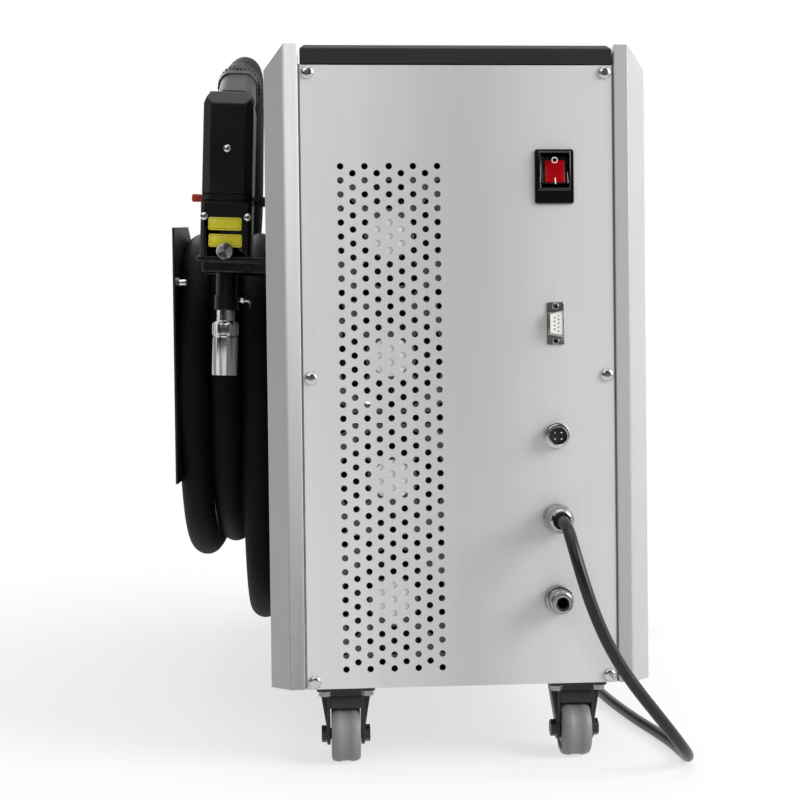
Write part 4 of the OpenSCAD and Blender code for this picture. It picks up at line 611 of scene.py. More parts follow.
def round_edges(bm, width, segments=2):
    """Rounds each sharp edge and marks the new faces, whose wear the finishes show."""
    layer = bm.faces.layers.float.get("edge") or bm.faces.layers.float.new("edge")
    sharp = [
        e for e in bm.edges
        if len(e.link_faces) == 2 and e.calc_face_angle(0) > SHARP_FROM
    ]
    if sharp and width > 0:
        made = bmesh.ops.bevel(
            bm, geom=sharp, offset=width, offset_type="OFFSET", segments=segments,
            profile=0.5, affect="EDGES", clamp_overlap=False,
        )
        for face in made["faces"]:
            face[layer] = 1.0
    return bm


def unit_way(path, i):
    return (path[min(i + 1, len(path) - 1)] - path[max(i - 1, 0)]).normalized()


def tube(bm, path, radius, sides):
    """A closed tube along a path. Its UVs run once round and, in the same scale, along it."""
    uv = bm.loops.layers.uv.new("along")
    across = unit_way(path, 0).orthogonal().normalized()
    rings, run, far = [], 0.0, []
    for i, point in enumerate(path):
        way = unit_way(path, i)
        across = (across - way * across.dot(way)).normalized()
        other = way.cross(across)
        rings.append([
            bm.verts.new(point + radius * (
                math.cos(math.tau * k / sides) * across + math.sin(math.tau * k / sides) * other))
            for k in range(sides)
        ])
        run += (point - path[i - 1]).length if i else 0.0
        far.append(run / (math.tau * radius))
    for i in range(len(path) - 1):
        for k in range(sides):
            n = (k + 1) % sides
            face = bm.faces.new((rings[i][k], rings[i][n], rings[i + 1][n], rings[i + 1][k]))
            for loop, (u, v) in zip(face.loops, (
                (k, far[i]), (k + 1, far[i]), (k + 1, far[i + 1]), (k, far[i + 1])
            )):
                loop[uv].uv = (u / sides, v)
    bm.faces.new(rings[0][::-1])
    bm.faces.new(rings[-1])
    return bm


def smooth_path(points, step):
    """A curve through every point, with a point about every step."""
    made = [points[0]]
    for i in range(len(points) - 1):
        before = points[i - 1] if i else 2 * points[0] - points[1]
        after = points[i + 2] if i + 2 < len(points) else 2 * points[-1] - points[-2]
        a, b = points[i], points[i + 1]
        near, next_one, last = (
            (span.length or step) ** 0.5 for span in (before - a, b - a, after - b)
        )
        way_a = ((a - before) / near - (b - before) / (near + next_one)
                 + (b - a) / next_one) * next_one
        way_b = ((b - a) / next_one - (after - a) / (next_one + last)
                 + (after - b) / last) * next_one
        count = max(1, round((b - a).length / step))
        for k in range(1, count + 1):
            t = k / count
            made.append(
                (2 * t**3 - 3 * t**2 + 1) * a + (t**3 - 2 * t**2 + t) * way_a
                + (3 * t**2 - 2 * t**3) * b + (t**3 - t**2) * way_b
            )
    return made


def new_object(name, data):
    thing = bpy.data.objects.new(name, data)
    bpy.context.scene.collection.objects.link(thing)
    return thing


def put_up(name, form, material=None, body="machine", stands_for=(), smooth=32):
    """Makes a piece from a bmesh, or from a mesh that may have its material already, ties it to
    its body and finish, and hides the CAD nodes that it stands for."""
    if isinstance(form, bmesh.types.BMesh):
        mesh = bpy.data.meshes.new(name)
        form.normal_update()
        form.to_mesh(mesh)
        form.free()
    else:
        mesh = form
    mesh.shade_smooth()
    mesh.set_sharp_from_angle(angle=math.radians(smooth))
    if not mesh.materials:
        mesh.materials.append(material)
    piece = new_object(name, mesh)
    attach(piece, body)
    if stands_for:
        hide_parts(*stands_for)
    return piece


def stand_in(node, form, material=None, smooth=32):
    """Puts up the piece that replaces a CAD node, on its body."""
    return put_up(node + "_finished", form, material, BODY_OF[node], [node], smooth)


def outward(bm):
    """Closes a form's seams and turns its faces outwards."""
    bmesh.ops.remove_doubles(bm, verts=bm.verts, dist=1e-6)
    bmesh.ops.recalc_face_normals(bm, faces=bm.faces)
    return bm


# A face of this area or more, in square metres, is one flat face
FLAT_FROM = 6e-5


def dress(node, material, width, segments=2):
    """A copy of a CAD node with its edges rounded, which stands for the node."""
    bm = bmesh.new()
    bm.from_mesh(frame["nodes"][node].data)
    bmesh.ops.remove_doubles(bm, verts=bm.verts, dist=4e-6)
    bmesh.ops.dissolve_degenerate(bm, edges=bm.edges, dist=4e-6)
    bmesh.ops.dissolve_limit(
        bm, angle_limit=math.radians(0.4), use_dissolve_boundaries=False, verts=bm.verts,
        edges=bm.edges,
    )
    round_edges(bm, width, segments)
    edge = bm.faces.layers.float["edge"]
    curved = [face[edge] > 0 or face.calc_area() < FLAT_FROM for face in bm.faces]
    piece = stand_in(node, bm, material, smooth=24)
    piece.data.polygons.foreach_set("use_smooth", curved)


def coat(node, material):
    """Gives a CAD node, which stays, its finish."""
    mesh = frame["nodes"][node].data
    mesh.materials.clear()
    mesh.materials.append(material)


# ---------------------------------------------------------------- repeats by nodes


class Repeats:
    """Builds a Geometry Nodes tree that repeats a piece. It has named inputs, and ends in
    Realize and Set Material."""

    def __init__(self, name, numbers):
        self.tree = bpy.data.node_groups.new(name, "GeometryNodeTree")
        sockets = self.tree.interface
        sockets.new_socket("Geometry", in_out="INPUT", socket_type="NodeSocketGeometry")
        for label, kind, default in (
            ("Piece", "Object", None), ("Finish", "Material", None), *numbers
        ):
            made = sockets.new_socket(label, in_out="INPUT", socket_type="NodeSocket" + kind)
            if default is not None:
                made.default_value = default
        sockets.new_socket("Geometry", in_out="OUTPUT", socket_type="NodeSocketGeometry")
        self.entry = self.tree.nodes.new("NodeGroupInput")
        self.shape = self.add(
            "GeometryNodeObjectInfo", {"transform_space": "ORIGINAL"},
            {"Object": self.given("Piece")}, "Geometry",
        )

    def add(self, kind, settings=None, inputs=None, output=0):
        made = self.tree.nodes.new(kind)
        for name, value in (settings or {}).items():
            setattr(made, name, value)
        for key, value in (inputs or {}).items():
            if isinstance(value, bpy.types.NodeSocket):
                self.tree.links.new(value, made.inputs[key])
            else:
                made.inputs[key].default_value = value
        return made.outputs[output]

    def given(self, label):
        return self.entry.outputs[label]

    def close(self, instances):
        solid = self.add("GeometryNodeRealizeInstances", inputs={0: instances})
        finished = self.add(
            "GeometryNodeSetMaterial", inputs={"Geometry": solid, "Material": self.given("Finish")}
        )
        end = self.tree.nodes.new("NodeGroupOutput")
        self.tree.links.new(finished, end.inputs[0])
        return self.tree


def piece_on_points_tree():
    """One piece on each vertex of the mesh, turned about its own z by a fixed chance."""
    r = Repeats("piece on points", [
        ("Tilt", "Vector", (0, 0, 0)), ("Spread", "Float", 0.0), ("Seed", "Int", 4)])
    set_out = r.add("GeometryNodeInstanceOnPoints", inputs={
        "Points": r.given("Geometry"), "Instance": r.shape, "Rotation": r.given("Tilt")})
    chance = r.add(
        "FunctionNodeRandomValue", {"data_type": "FLOAT"},
        {2: 0.0, 3: r.given("Spread"), "Seed": r.given("Seed")}, 1,
    )
    turn = r.add("ShaderNodeCombineXYZ", inputs={"Z": chance})
    return r.close(r.add("GeometryNodeRotateInstances", inputs={
        "Instances": set_out, "Rotation": turn, "Local Space": True}))


def piece_in_ring_tree():
    """Count pieces in a ring about z, each turned to face out. A piece may stand off z by
    itself, and then the ring needs no Radius."""
    r = Repeats("piece in a ring", [("Count", "Int", 12), ("Radius", "Float", 0.0)])
    ring = r.add("GeometryNodeMeshCircle", inputs={
        "Vertices": r.given("Count"), "Radius": r.given("Radius")})
    place = r.add("GeometryNodeInputIndex")
    step = r.add("ShaderNodeMath", {"operation": "DIVIDE"}, {0: math.tau, 1: r.given("Count")})
    angle = r.add("ShaderNodeMath", {"operation": "MULTIPLY"}, {0: place, 1: step})
    turn = r.add("ShaderNodeCombineXYZ", inputs={"Z": angle})
    return r.close(r.add("GeometryNodeInstanceOnPoints", inputs={
        "Points": ring, "Instance": r.shape, "Rotation": turn}))


def repeat(tree, shape, finish, points, place, **values):
    """Runs a tree on a shape once and returns the plain mesh that it makes, in place."""
    model = bpy.data.meshes.new("model")
    shape.normal_update()
    shape.to_mesh(model)
    shape.free()
    model.shade_smooth()
    model.set_sharp_from_angle(angle=math.radians(32))
    piece = new_object("model", model)
    base = bpy.data.meshes.new("points")
    base.from_pydata([tuple(p) for p in points], [], [])
    host = new_object("host", base)
    modifier = host.modifiers.new("repeat", "NODES")
    modifier.node_group = tree
    values.update({"Piece": piece, "Finish": finish})
    for item in tree.interface.items_tree:
        if item.item_type == "SOCKET" and item.in_out == "INPUT" and item.name in values:
            modifier[item.identifier] = values[item.name]
    bpy.context.view_layer.update()
    graph = bpy.context.evaluated_depsgraph_get()
    made = bpy.data.meshes.new_from_object(host.evaluated_get(graph), depsgraph=graph)
    host.modifiers.remove(modifier)
    for thing in (piece, host):
        bpy.data.objects.remove(thing)
    if place:
        made.transform(place)
    return made


def on_points(shape, finish, points, place=None, **values):
    return repeat(piece_on_points_tree(), shape, finish, points, place, **values)


def in_ring(shape, finish, place=None, **values):
    return repeat(piece_in_ring_tree(), shape, finish, (), place, **values)


def cut(solid, cutter):
    """A bmesh solid with a bmesh cutter taken out of it, as a new bmesh."""
    things = []
    for form in (solid, cutter):
        mesh = bpy.data.meshes.new("part")
        form.to_mesh(mesh)
        form.free()
        things.append(new_object("part", mesh))
    modifier = things[0].modifiers.new("cut", "BOOLEAN")
    modifier.operation, modifier.solver, modifier.object = "DIFFERENCE", "EXACT", things[1]
    graph = bpy.context.evaluated_depsgraph_get()
    made = bpy.data.meshes.new_from_object(things[0].evaluated_get(graph), depsgraph=graph)
    result = bmesh.new()
    result.from_mesh(made)
    for thing in things:
        bpy.data.objects.remove(thing)
    bpy.data.meshes.remove(made)
    return result


# ---------------------------------------------------------------- cords


# The routes and the coil, in metres and from the middle of the cabinet's rear edge, as the
# solids have them. Only CORD_TAIL, which leads to the plug, starts from the coil's end.
CORD_ROUTE = [
    (0.0695, -0.002, 0.1778), (0.0695, -0.018, 0.1778), (0.0695, -0.030, 0.177),
    (0.070, -0.041, 0.173), (0.071, -0.050, 0.165), (0.0735, -0.056, 0.153),
    (0.0775, -0.059, 0.138), (0.0835, -0.060, 0.120), (0.0915, -0.060, 0.101),
    (0.102, -0.059, 0.082), (0.115, -0.057, 0.0635), (0.128, -0.053, 0.047),
    (0.1395, -0.047, 0.0325), (0.149, -0.038, 0.0205), (0.156, -0.026, 0.0115),
    (0.160, -0.011, 0.006), (0.161, 0.006, 0.0044), (0.160, 0.030, 0.0044),
    (0.1565, 0.060, 0.0044), (0.151, 0.095, 0.0044), (0.146, 0.135, 0.0044),
    (0.142, 0.180, 0.0044), (0.140, 0.230, 0.0044), (0.140, 0.280, 0.0044),
    (0.140, 0.330, 0.0044), (0.140, 0.380, 0.0044), (0.140, 0.430, 0.0044),
    (0.140, 0.480, 0.0044), (0.140, 0.5215, 0.0044),
]
CORD_TAIL = [
    (0, 0, 0), (0, 0.009, 0), (0, 0.018, -0.0006), (0, 0.028, -0.003), (0, 0.038, -0.0066),
    (0, 0.048, -0.0098), (0, 0.058, -0.0119), (0, 0.068, -0.0125), (0, 0.077, -0.0125),
]
COIL_PLACE = (0.196, 0.530, 0.0044)
COIL_R, COIL_PITCH, COIL_TURNS, COIL_LAYER_TURNS = 0.056, 0.009, 8, 2
HOSE_OUT = [
    (-0.152, 0.600, 0.190), (-0.152, 0.600, 0.206), (-0.152, 0.599, 0.223),
    (-0.152, 0.596, 0.241), (-0.152, 0.591, 0.262), (-0.152, 0.5835, 0.284),
    (-0.152, 0.5735, 0.305), (-0.152, 0.561, 0.325), (-0.152, 0.546, 0.343),
    (-0.152, 0.528, 0.359), (-0.152, 0.507, 0.374), (-0.152, 0.484, 0.3865),
    (-0.152, 0.459, 0.396), (-0.152, 0.435, 0.402), (-0.152, 0.415, 0.405),
    (-0.152, 0.400, 0.405),
]
HOSE_UP = [
    (-0.205, 0.400, 0.1277), (-0.205, 0.430, 0.1277), (-0.205, 0.460, 0.129),
    (-0.205, 0.492, 0.133), (-0.205, 0.522, 0.143), (-0.2045, 0.548, 0.159),
    (-0.204, 0.568, 0.183), (-0.203, 0.581, 0.212), (-0.2015, 0.588, 0.245),
    (-0.1985, 0.590, 0.280), (-0.1935, 0.590, 0.320), (-0.1875, 0.588, 0.355),
    (-0.181, 0.582, 0.390), (-0.1755, 0.572, 0.423), (-0.172, 0.557, 0.455),
    (-0.170, 0.537, 0.484), (-0.1685, 0.512, 0.5075), (-0.167, 0.482, 0.527),
    (-0.1655, 0.449, 0.5435), (-0.164, 0.414, 0.5565), (-0.163, 0.380, 0.5655),
    (-0.163, 0.348, 0.569), (-0.1645, 0.318, 0.5665), (-0.167, 0.290, 0.556),
    (-0.1668, 0.2861, 0.5538),
]
# The hose's turns: the first one's distance from the cabinet, the pitch of the next ones, and
# their middle and half their length in y
HOSE_LANE, HOSE_PITCH, HOSE_Y, HOSE_HALF_Y = 0.014, 0.0265, 0.375, 0.185
# Their top, where each of them is lowest, how square they hang, and their number
HOSE_TOP, HOSE_LOWS, HOSE_POWER, HOSE_TURNS = 0.405, (0.066, 0.140, 0.1277), 2.6, 2.5
RINGS = 24  # points of a path on each turn


def cord_turn(t):
    """The mains cord's coil: t counts its turns, which wind in and out in four layers."""
    part = t % (2 * COIL_LAYER_TURNS)
    inward = part if part < COIL_LAYER_TURNS else 2 * COIL_LAYER_TURNS - part
    layer = math.floor(t / COIL_LAYER_TURNS + 0.5)
    into = (t / COIL_LAYER_TURNS + 0.5 - layer) * COIL_LAYER_TURNS - COIL_LAYER_TURNS / 2
    if t < 0.25 or t > COIL_TURNS - 0.25:
        rise = math.floor(t / COIL_LAYER_TURNS)
    else:
        rise = layer + min(max(2 * into, -0.5), 0.5) - 0.5
    x, y, z = COIL_PLACE
    r = COIL_R - inward * COIL_PITCH
    return at(
        x - r * math.cos(math.tau * t), y + r * math.sin(math.tau * t), z + COIL_PITCH * rise
    )


def coil_end():
    """The end of the coil's last turn, on its fourth layer."""
    return at(COIL_PLACE[0] - COIL_R, COIL_PLACE[1], COIL_PLACE[2] + 3 * COIL_PITCH)


def hose_turn(t):
    """The hose on its rack: t counts turns from the top, towards the rear and down."""
    def curl(v):
        return math.copysign(abs(v) ** (2 / HOSE_POWER), v)

    c, whole = math.cos(math.tau * t), math.floor(t)
    mid_z = (HOSE_TOP + HOSE_LOWS[1]) / 2
    half = HOSE_TOP - mid_z if c > 0 else mid_z - HOSE_LOWS[min(whole, 2)]
    # on its way up each turn leans over to the next lane
    over = min(max((t - whole - 0.52) / 0.26, 0), 1)
    lane = min(whole + over * over * (3 - 2 * over), 2)
    return at(
        -HALF_W - HOSE_LANE - HOSE_PITCH * lane,
        HOSE_Y - HOSE_HALF_Y * curl(math.sin(math.tau * t)), mid_z + half * curl(c),
    )


def mains_plug(r, rubber, metal):
    """The plug with its grips and two round pins. It grows out of a cord of radius r."""
    lay = Matrix.Translation(coil_end() + Vector(CORD_TAIL[-1])) @ TO_FRONT
    body = lathe(bmesh.new(), [
        (0, 0), (r + 0.0012, 0), (r + 0.0020, 0.0015), (r + 0.0022, 0.0045), (r + 0.0008, 0.006),
        (r + 0.0030, 0.0075), (r + 0.0032, 0.0105), (r + 0.0014, 0.012), (r + 0.0038, 0.0135),
        (r + 0.0042, 0.017), (r + 0.0022, 0.0185), (r + 0.0048, 0.020), (r + 0.0052, 0.024),
        (r + 0.0036, 0.0255), (r + 0.0050, 0.028), (0.0142, 0.0300), (0.0172, 0.0340),
        (0.0185, 0.0400), (0.0185, 0.0625), (0.0176, 0.0652), (0.0165, 0.0660), (0, 0.0660),
    ], 64, lay)
    outward(body)
    plug = put_up(
        "mains_plug_body", body, rubber, stands_for=["mains_plug"], smooth=40
    )
    rib = block(bmesh.new(), (0.0175, -0.0011, 0.042), (0.0189, 0.0011, 0.060))
    round_edges(rib, 0.0005)
    ribs = put_up("mains_plug_grips", in_ring(rib, rubber, lay, Count=20))
    pins = bmesh.new()
    for side in (-1, 1):
        lathe(pins, [
            (0, 0.0640), (0.0024, 0.0640), (0.0024, 0.0825), (0.0019, 0.0845), (0.0008, 0.0850),
            (0, 0.0850),
        ], 24, lay @ Matrix.Translation((side * 0.0095, 0, 0)))
    pins = put_up("mains_plug_pins", outward(pins), metal)
    return plug, ribs, pins


def cord_tie(rubber):
    """A band round all the turns of the coil, at one place of its circle."""
    turn = math.tau * 0.37
    out = Vector((-math.cos(turn), math.sin(turn), 0))
    way = Vector((math.sin(turn), math.cos(turn), 0))
    centre = at(*COIL_PLACE) + out * (COIL_R - COIL_PITCH) + Vector((0, 0, 1.5 * COIL_PITCH))
    tie, rings = bmesh.new(), []
    for k in range(40):
        a = math.tau * k / 40
        spoke = out * math.cos(a) * 0.0175 + Vector((0, 0, math.sin(a) * 0.0180))
        rings.append([
            tie.verts.new(centre + spoke * grow + way * side) for grow, side in
            ((0.94, -0.0022), (0.94, 0.0022), (1.0, 0.0022), (1.0, -0.0022))
        ])
    for k, ring in enumerate(rings):
        after = rings[(k + 1) % len(rings)]
        for j in range(4):
            tie.faces.new((ring[j], ring[(j + 1) % 4], after[(j + 1) % 4], after[j]))
    return put_up("cord_tie", outward(tie), rubber)


def mains_cord(look, rubber, metal):
    path = smooth_path(
        [at(*p) for p in CORD_ROUTE]
        + [cord_turn(i / RINGS) for i in range(COIL_TURNS * RINGS)]
        + [coil_end() + Vector(step) for step in CORD_TAIL], step=0.004,
    )
    r = look.cord_d / 2
    cord = put_up(
        "mains_cord", tube(bmesh.new(), path, r, 16), cord_sheath("cord sheath", look.cord),
        stands_for=["mains_lead", "mains_coil"], smooth=60,
    )
    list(mains_plug(r, rubber, metal))
    cord_tie(rubber)


def torch_hose(look):
    path = smooth_path(
        [at(*p) for p in HOSE_OUT]
        + [hose_turn(i / RINGS) for i in range(int(HOSE_TURNS * RINGS) + 1)]
        + [at(*p) for p in HOSE_UP], step=0.007,
    )
    hose = put_up(
        "torch_hose", tube(bmesh.new(), path, look.hose_d / 2 + look.sleeve, 32),
        woven_sleeve("hose sleeve", look.hose, 12, 12),
        stands_for=["hose_machine_end", "hose_turns", "hose_torch_end"],
        smooth=60,
    )


# ---------------------------------------------------------------- cabinet


def cross_screw(diameter, height):
    """A pan head with a cross recess, its seat at z = 0 and its head upwards."""
    r = diameter / 2
    head = lathe(bmesh.new(), [
        (0, 0), (r * 0.97, 0), (r, height * 0.08), (r, height * 0.3), (r * 0.96, height * 0.52),
        (r * 0.86, height * 0.74), (r * 0.68, height * 0.9), (r * 0.42, height * 0.98),
        (0, height),
    ], 40)
    wing, thick, deep = r * 0.56, r * 0.13, height * 0.42
    cross = bmesh.new()
    for along in (0, 1):
        w, t = (wing, thick) if along else (thick, wing)
        top = [cross.verts.new((x, y, height * 1.3)) for x, y in
               ((-w, -t), (w, -t), (w, t), (-w, t))]
        w, t = (w * 0.35, t) if along else (w, t * 0.35)
        low = [cross.verts.new((x, y, deep)) for x, y in ((-w, -t), (w, -t), (w, t), (-w, t))]
        cross.faces.new(low[::-1])
        cross.faces.new(top)
        for k in range(4):
            n = (k + 1) % 4
            cross.faces.new((low[k], low[n], top[n], top[k]))
    return cut(outward(head), cross)


def hex_head(across, height, washer):
    """A hexagon bolt head, its seat at z = 0, with chamfered corners on a thin washer."""
    head = prism(bmesh.new(), polygon(6, across), washer, washer + height)
    round_edges(head, across * 0.05)
    return lathe(head, [
        (0, 0), (across * 0.60, 0), (across * 0.62, washer * 0.3), (across * 0.62, washer),
        (0, washer),
    ], 32)


def cabinet(look):
    side = side_coat_painted_reflection("side coat", look.side)
    sheet = satin_sheet_painted_reflection("panel sheet", look.sheet)
    steel = plated("zinc plate", look.steel, 0.42, 90, 0.25)
    bright = plated("screw nickel", look.bright, 0.2)
    cover = powder_coat("cover coat", look.cover, 0.5, 0.00012, 0.3)
    for node in ("left_side_panel", "right_side_panel"):
        dress(node, side, look.round)
    coat("rear_panel", sheet)
    coat("front_panel", sheet)
    dress("top_cover", cover, look.round)
    dress("base_plate", steel, 0.0003)
    dress("corner_posts", steel, 0.0003)
    low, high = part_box("panel_screws")
    screw_d = 0.0093
    reach = screw_d / 2
    xs, zs = (low.x + reach, high.x - reach), (low.z + reach, high.z - reach)
    spots = [(x, REAR_Y + PANEL_IN, z) for x in xs for z in (zs[0], sum(zs) / 2, zs[1])]
    screw = cross_screw(screw_d, 0.0026)
    lathe(screw, [
        (0, -0.0068), (0.0016, -0.007), (0.002, -0.0064), (0.002, 0.0001), (0, 0.0001)], 20)
    stand_in("panel_screws", on_points(
        screw, bright, spots, Tilt=REARWARD, Spread=math.tau, Seed=7))


# ---------------------------------------------------------------- rear fittings


def power_switch(look, black):
    dress("switch_bezel", black, 0.0007, segments=3)
    dress("switch_rocker", black, 0.0006, segments=3)
    # the rocker's face runs from its proud lower edge over its middle to its upper edge
    low = Vector((0, -0.0078, -0.0098))
    mid = Vector((0, -0.0049, 0.0))
    high = Vector((0, -0.0052, 0.0098))
    pivot = at(FITTINGS_X, 0.0035, SWITCH_Z)
    lens = bmesh.new()
    spans = [low.lerp(mid, 0.10), low.lerp(mid, 0.55), mid, mid.lerp(high, 0.70)]
    half, proud = 0.0070, 0.0004
    rows = [
        [lens.verts.new(pivot + p + Vector((x, -d, 0))) for x, d in
         ((-half, -0.001), (-half, proud * 0.4), (-half + 0.0007, proud),
          (half - 0.0007, proud), (half, proud * 0.4), (half, -0.001))] for p in spans
    ]
    for a, b in zip(rows, rows[1:]):
        for k in range(6):
            n = (k + 1) % 6
            lens.faces.new((a[k], a[n], b[n], b[k]))
    lens.faces.new(rows[0])
    lens.faces.new(rows[-1])
    put_up("switch_lens", outward(lens), clear_lens("switch lens", look.lens, 0.22, 0.04),
           "rocker", smooth=20)
    white = printed("switch mark", look.mark)
    ring_at = mid.lerp(high, 0.74)
    r, line = look.mark_d / 2, 0.0005
    tilt = Matrix.Translation(pivot + ring_at + Vector((0, -0.00005, 0))) @ TO_REAR
    marks = lathe(bmesh.new(), [
        (r - line, -0.0002), (r - line, 0.0005), (r, 0.0005), (r, -0.0002)], 40, tilt)
    bar = low.lerp(mid, 0.20) + Vector((0, -proud, 0))
    block(marks, (-0.0004, -0.0023, -0.0004), (0.0004, 0.0023, 0.0002),
          Matrix.Translation(pivot + bar) @ TO_REAR @ turned(-16.5, "X"))
    put_up("switch_marks", outward(marks), white, "rocker")


def data_connector(look, nickel):
    dress("data_connector_shell", nickel, 0.0002)
    white = moulded("pale insulator", look.insulator, 0.5)
    dress("data_connector_insert", white, 0.00015, segments=1)
    posts = bmesh.new()
    for z in (-0.0125, 0.0125):
        lathe(posts, [
            (0.00125, -0.004), (0.00125, 0.0011), (0.0021, 0.0011), (0.0024, 0.0008),
            (0.0024, -0.0001), (0.0021, -0.004),
        ], 24, on_panel(DATA_Z + z, 0.001))
    put_up("data_connector_posts", outward(posts), nickel)


def signal_socket(nickel, metal, black):
    """The round socket: a shell with a fine thread, its insert and four pins."""
    place = on_panel(SIGNAL_Z)
    ridges = []
    for i in range(8):
        z = 0.0028 + i * 0.0007
        ridges += [(0.0080, z), (0.0076, z + 0.00035)]
    shell = lathe(bmesh.new(), [
        (0.0064, -0.0080), (0.0080, -0.0080), (0.0080, -0.0040), (0.0095, -0.0040),
        (0.0095, -0.0015), (0.0080, -0.0015), (0.0080, 0), (0.0091, 0), (0.0095, 0.0004),
        (0.0095, 0.0019), (0.0090, 0.0025), (0.0080, 0.0026), *ridges, (0.0080, 0.0084),
        (0.0076, 0.0085), (0.0068, 0.0085), (0.0064, 0.0081),
    ], 64, place)
    block(shell, (-0.0006, 0.0056, 0.002), (0.0006, 0.0066, 0.0078), place)
    stand_in("signal_socket_shell", outward(shell), nickel)
    insert = lathe(bmesh.new(), [
        (0, -0.0075), (0.0063, -0.0075), (0.0063, 0.0042), (0.0060, 0.0045), (0.0009, 0.0045),
        (0, 0.0045),
    ], 48, place)
    stand_in("signal_socket_insert", outward(insert), black)
    pin = lathe(bmesh.new(), [
        (0, -0.002), (0.0009, -0.002), (0.0009, 0.0032), (0.0006, 0.0040), (0, 0.0043)], 20,
        Matrix.Translation((0.0033, 0, 0.0034)))
    pins = in_ring(pin, metal, place @ turned(45, "Z"), Count=4)
    put_up("signal_socket_pins", pins)


def metal_colour():
    return tuple(bpy.context.scene.welder_cabinet.bright)


def connectors(look, metal, black):
    nickel = plated("connector nickel", tone(metal_colour(), 0.97), 0.2, 300, 0.14)
    data_connector(look, nickel)
    signal_socket(nickel, metal, black)


def cord_gland(metal):
    """The domed and fluted gland of the mains cord, its nut inside, and its seal."""
    place = on_panel(GLAND_Z)
    form = lathe(bmesh.new(), [
        (0.0046, 0), (0.0103, 0), (0.0106, 0.0005), (0.0106, 0.0062), (0.0104, 0.0068),
        (0.0101, 0.0070), (0.0101, 0.0076), (0.0104, 0.0079), (0.0104, 0.0112),
        (0.0101, 0.0136), (0.0094, 0.0160), (0.0084, 0.0180), (0.0074, 0.0191),
        (0.0066, 0.0195), (0.0060, 0.0192), (0.0058, 0.0180), (0.0046, 0.0170),
    ], 96, place, flutes=12, depth=0.00025)
    lathe(form, [
        (0.0046, -0.0166), (0.0083, -0.0166), (0.0083, 0.001), (0.0046, 0.001)], 48, place)
    prism(form, polygon(6, 0.0212), -0.0040, -0.0015, place)
    stand_in("cord_gland", outward(form), metal)
    rubber = moulded("gland rubber", linear(30, 30, 31), 0.6)
    seal = lathe(bmesh.new(), [
        (0.0044, 0.0150), (0.0059, 0.0150), (0.0059, 0.0186), (0.0052, 0.0192), (0.0044, 0.0188)
    ], 48, place)
    put_up("cord_gland_seal", outward(seal), rubber)


def gas_inlet():
    """The push-in gas inlet, and behind the panel its valve with a round coil."""
    place = on_panel(INLET_Z)
    form = prism(bmesh.new(), polygon(6, 0.0214, 0.5), 0, 0.0060, place)
    round_edges(form, 0.0008, segments=3)
    lathe(form, [
        (0.00405, 0.0), (0.0101, 0.0), (0.0101, 0.0070), (0.0098, 0.0078), (0.0088, 0.0080),
        (0.0088, 0.0146), (0.0083, 0.0160), (0.0074, 0.0168), (0.0071, 0.0170),
        (0.0071, 0.0205), (0.0066, 0.0213), (0.0056, 0.0215), (0.0046, 0.0212),
        (0.00405, 0.0204),
    ], 64, place)
    lathe(form, [
        (0, -0.0140), (0.0070, -0.0140), (0.0070, 0.0015), (0.0044, 0.0015), (0.0044, 0.0014),
        (0, 0.0014)], 48, place)
    prism(form, polygon(6, 0.0212), -0.0040, -0.0015, place)
    block(form, (-0.013, -0.013, -0.0581), (0.013, 0.013, -0.0141), place)
    stand_in("gas_inlet", outward(form), bored_metal_painted_shade(
        "inlet nickel", tone(metal_colour(), 0.62), place.translation, (0, 1, 0), 0.00405))
    coil = lathe(bmesh.new(), [
        (0, 0.013), (0.0100, 0.013), (0.0105, 0.014), (0.0105, 0.033), (0.0100, 0.034),
        (0, 0.034)], 36, place @ Matrix.Translation((0, 0, -0.036)) @ turned(90, "Y"))
    put_up("gas_valve_coil", outward(coil), moulded("valve coil", linear(34, 34, 36), 0.5))


# ---------------------------------------------------------------- fans


def fan_blade(depth):
    """One blade about z: it twists less towards its tip, and is swept back and bowed."""
    root, tip, rows, columns, thick = 0.0163, 0.0358, 9, 7, 0.0006
    grid = []
    for i in range(rows):
        r = root + i * (tip - root) / (rows - 1)
        twist, half, swept = math.radians(52 - 3.2 * i), 0.0135 + 0.0007 * i, 0.05 * i
        row = []
        for j in range(columns):
            s = j / (columns - 1) * 2 - 1
            turn = s * half * math.cos(twist) / r + swept
            rise = depth / 2 + s * min(half * math.sin(twist), depth / 2 - 0.0004)
            rise = min(rise + 0.0012 * (1 - s * s), depth - 0.0002)
            row.append((r * math.cos(turn), r * math.sin(turn), rise))
        grid.append(row)
    blade = bmesh.new()
    under, over = (
        [[blade.verts.new((x, y, z + side)) for x, y, z in row] for row in grid]
        for side in (-thick, thick)
    )
    i_end, k_end = rows - 1, columns - 1
    for skin in (under, over):
        for a, b in zip(skin, skin[1:]):
            for k in range(k_end):
                blade.faces.new((a[k], a[k + 1], b[k + 1], b[k]))
    rim = [(0, k) for k in range(k_end)] + [(i, k_end) for i in range(i_end)]
    rim += [(i_end, k_end - k) for k in range(k_end)] + [(i_end - i, 0) for i in range(i_end)]
    for (i, k), (m, n) in zip(rim, rim[1:] + rim[:1]):
        blade.faces.new((under[i][k], under[m][n], over[m][n], over[i][k]))
    return outward(blade)


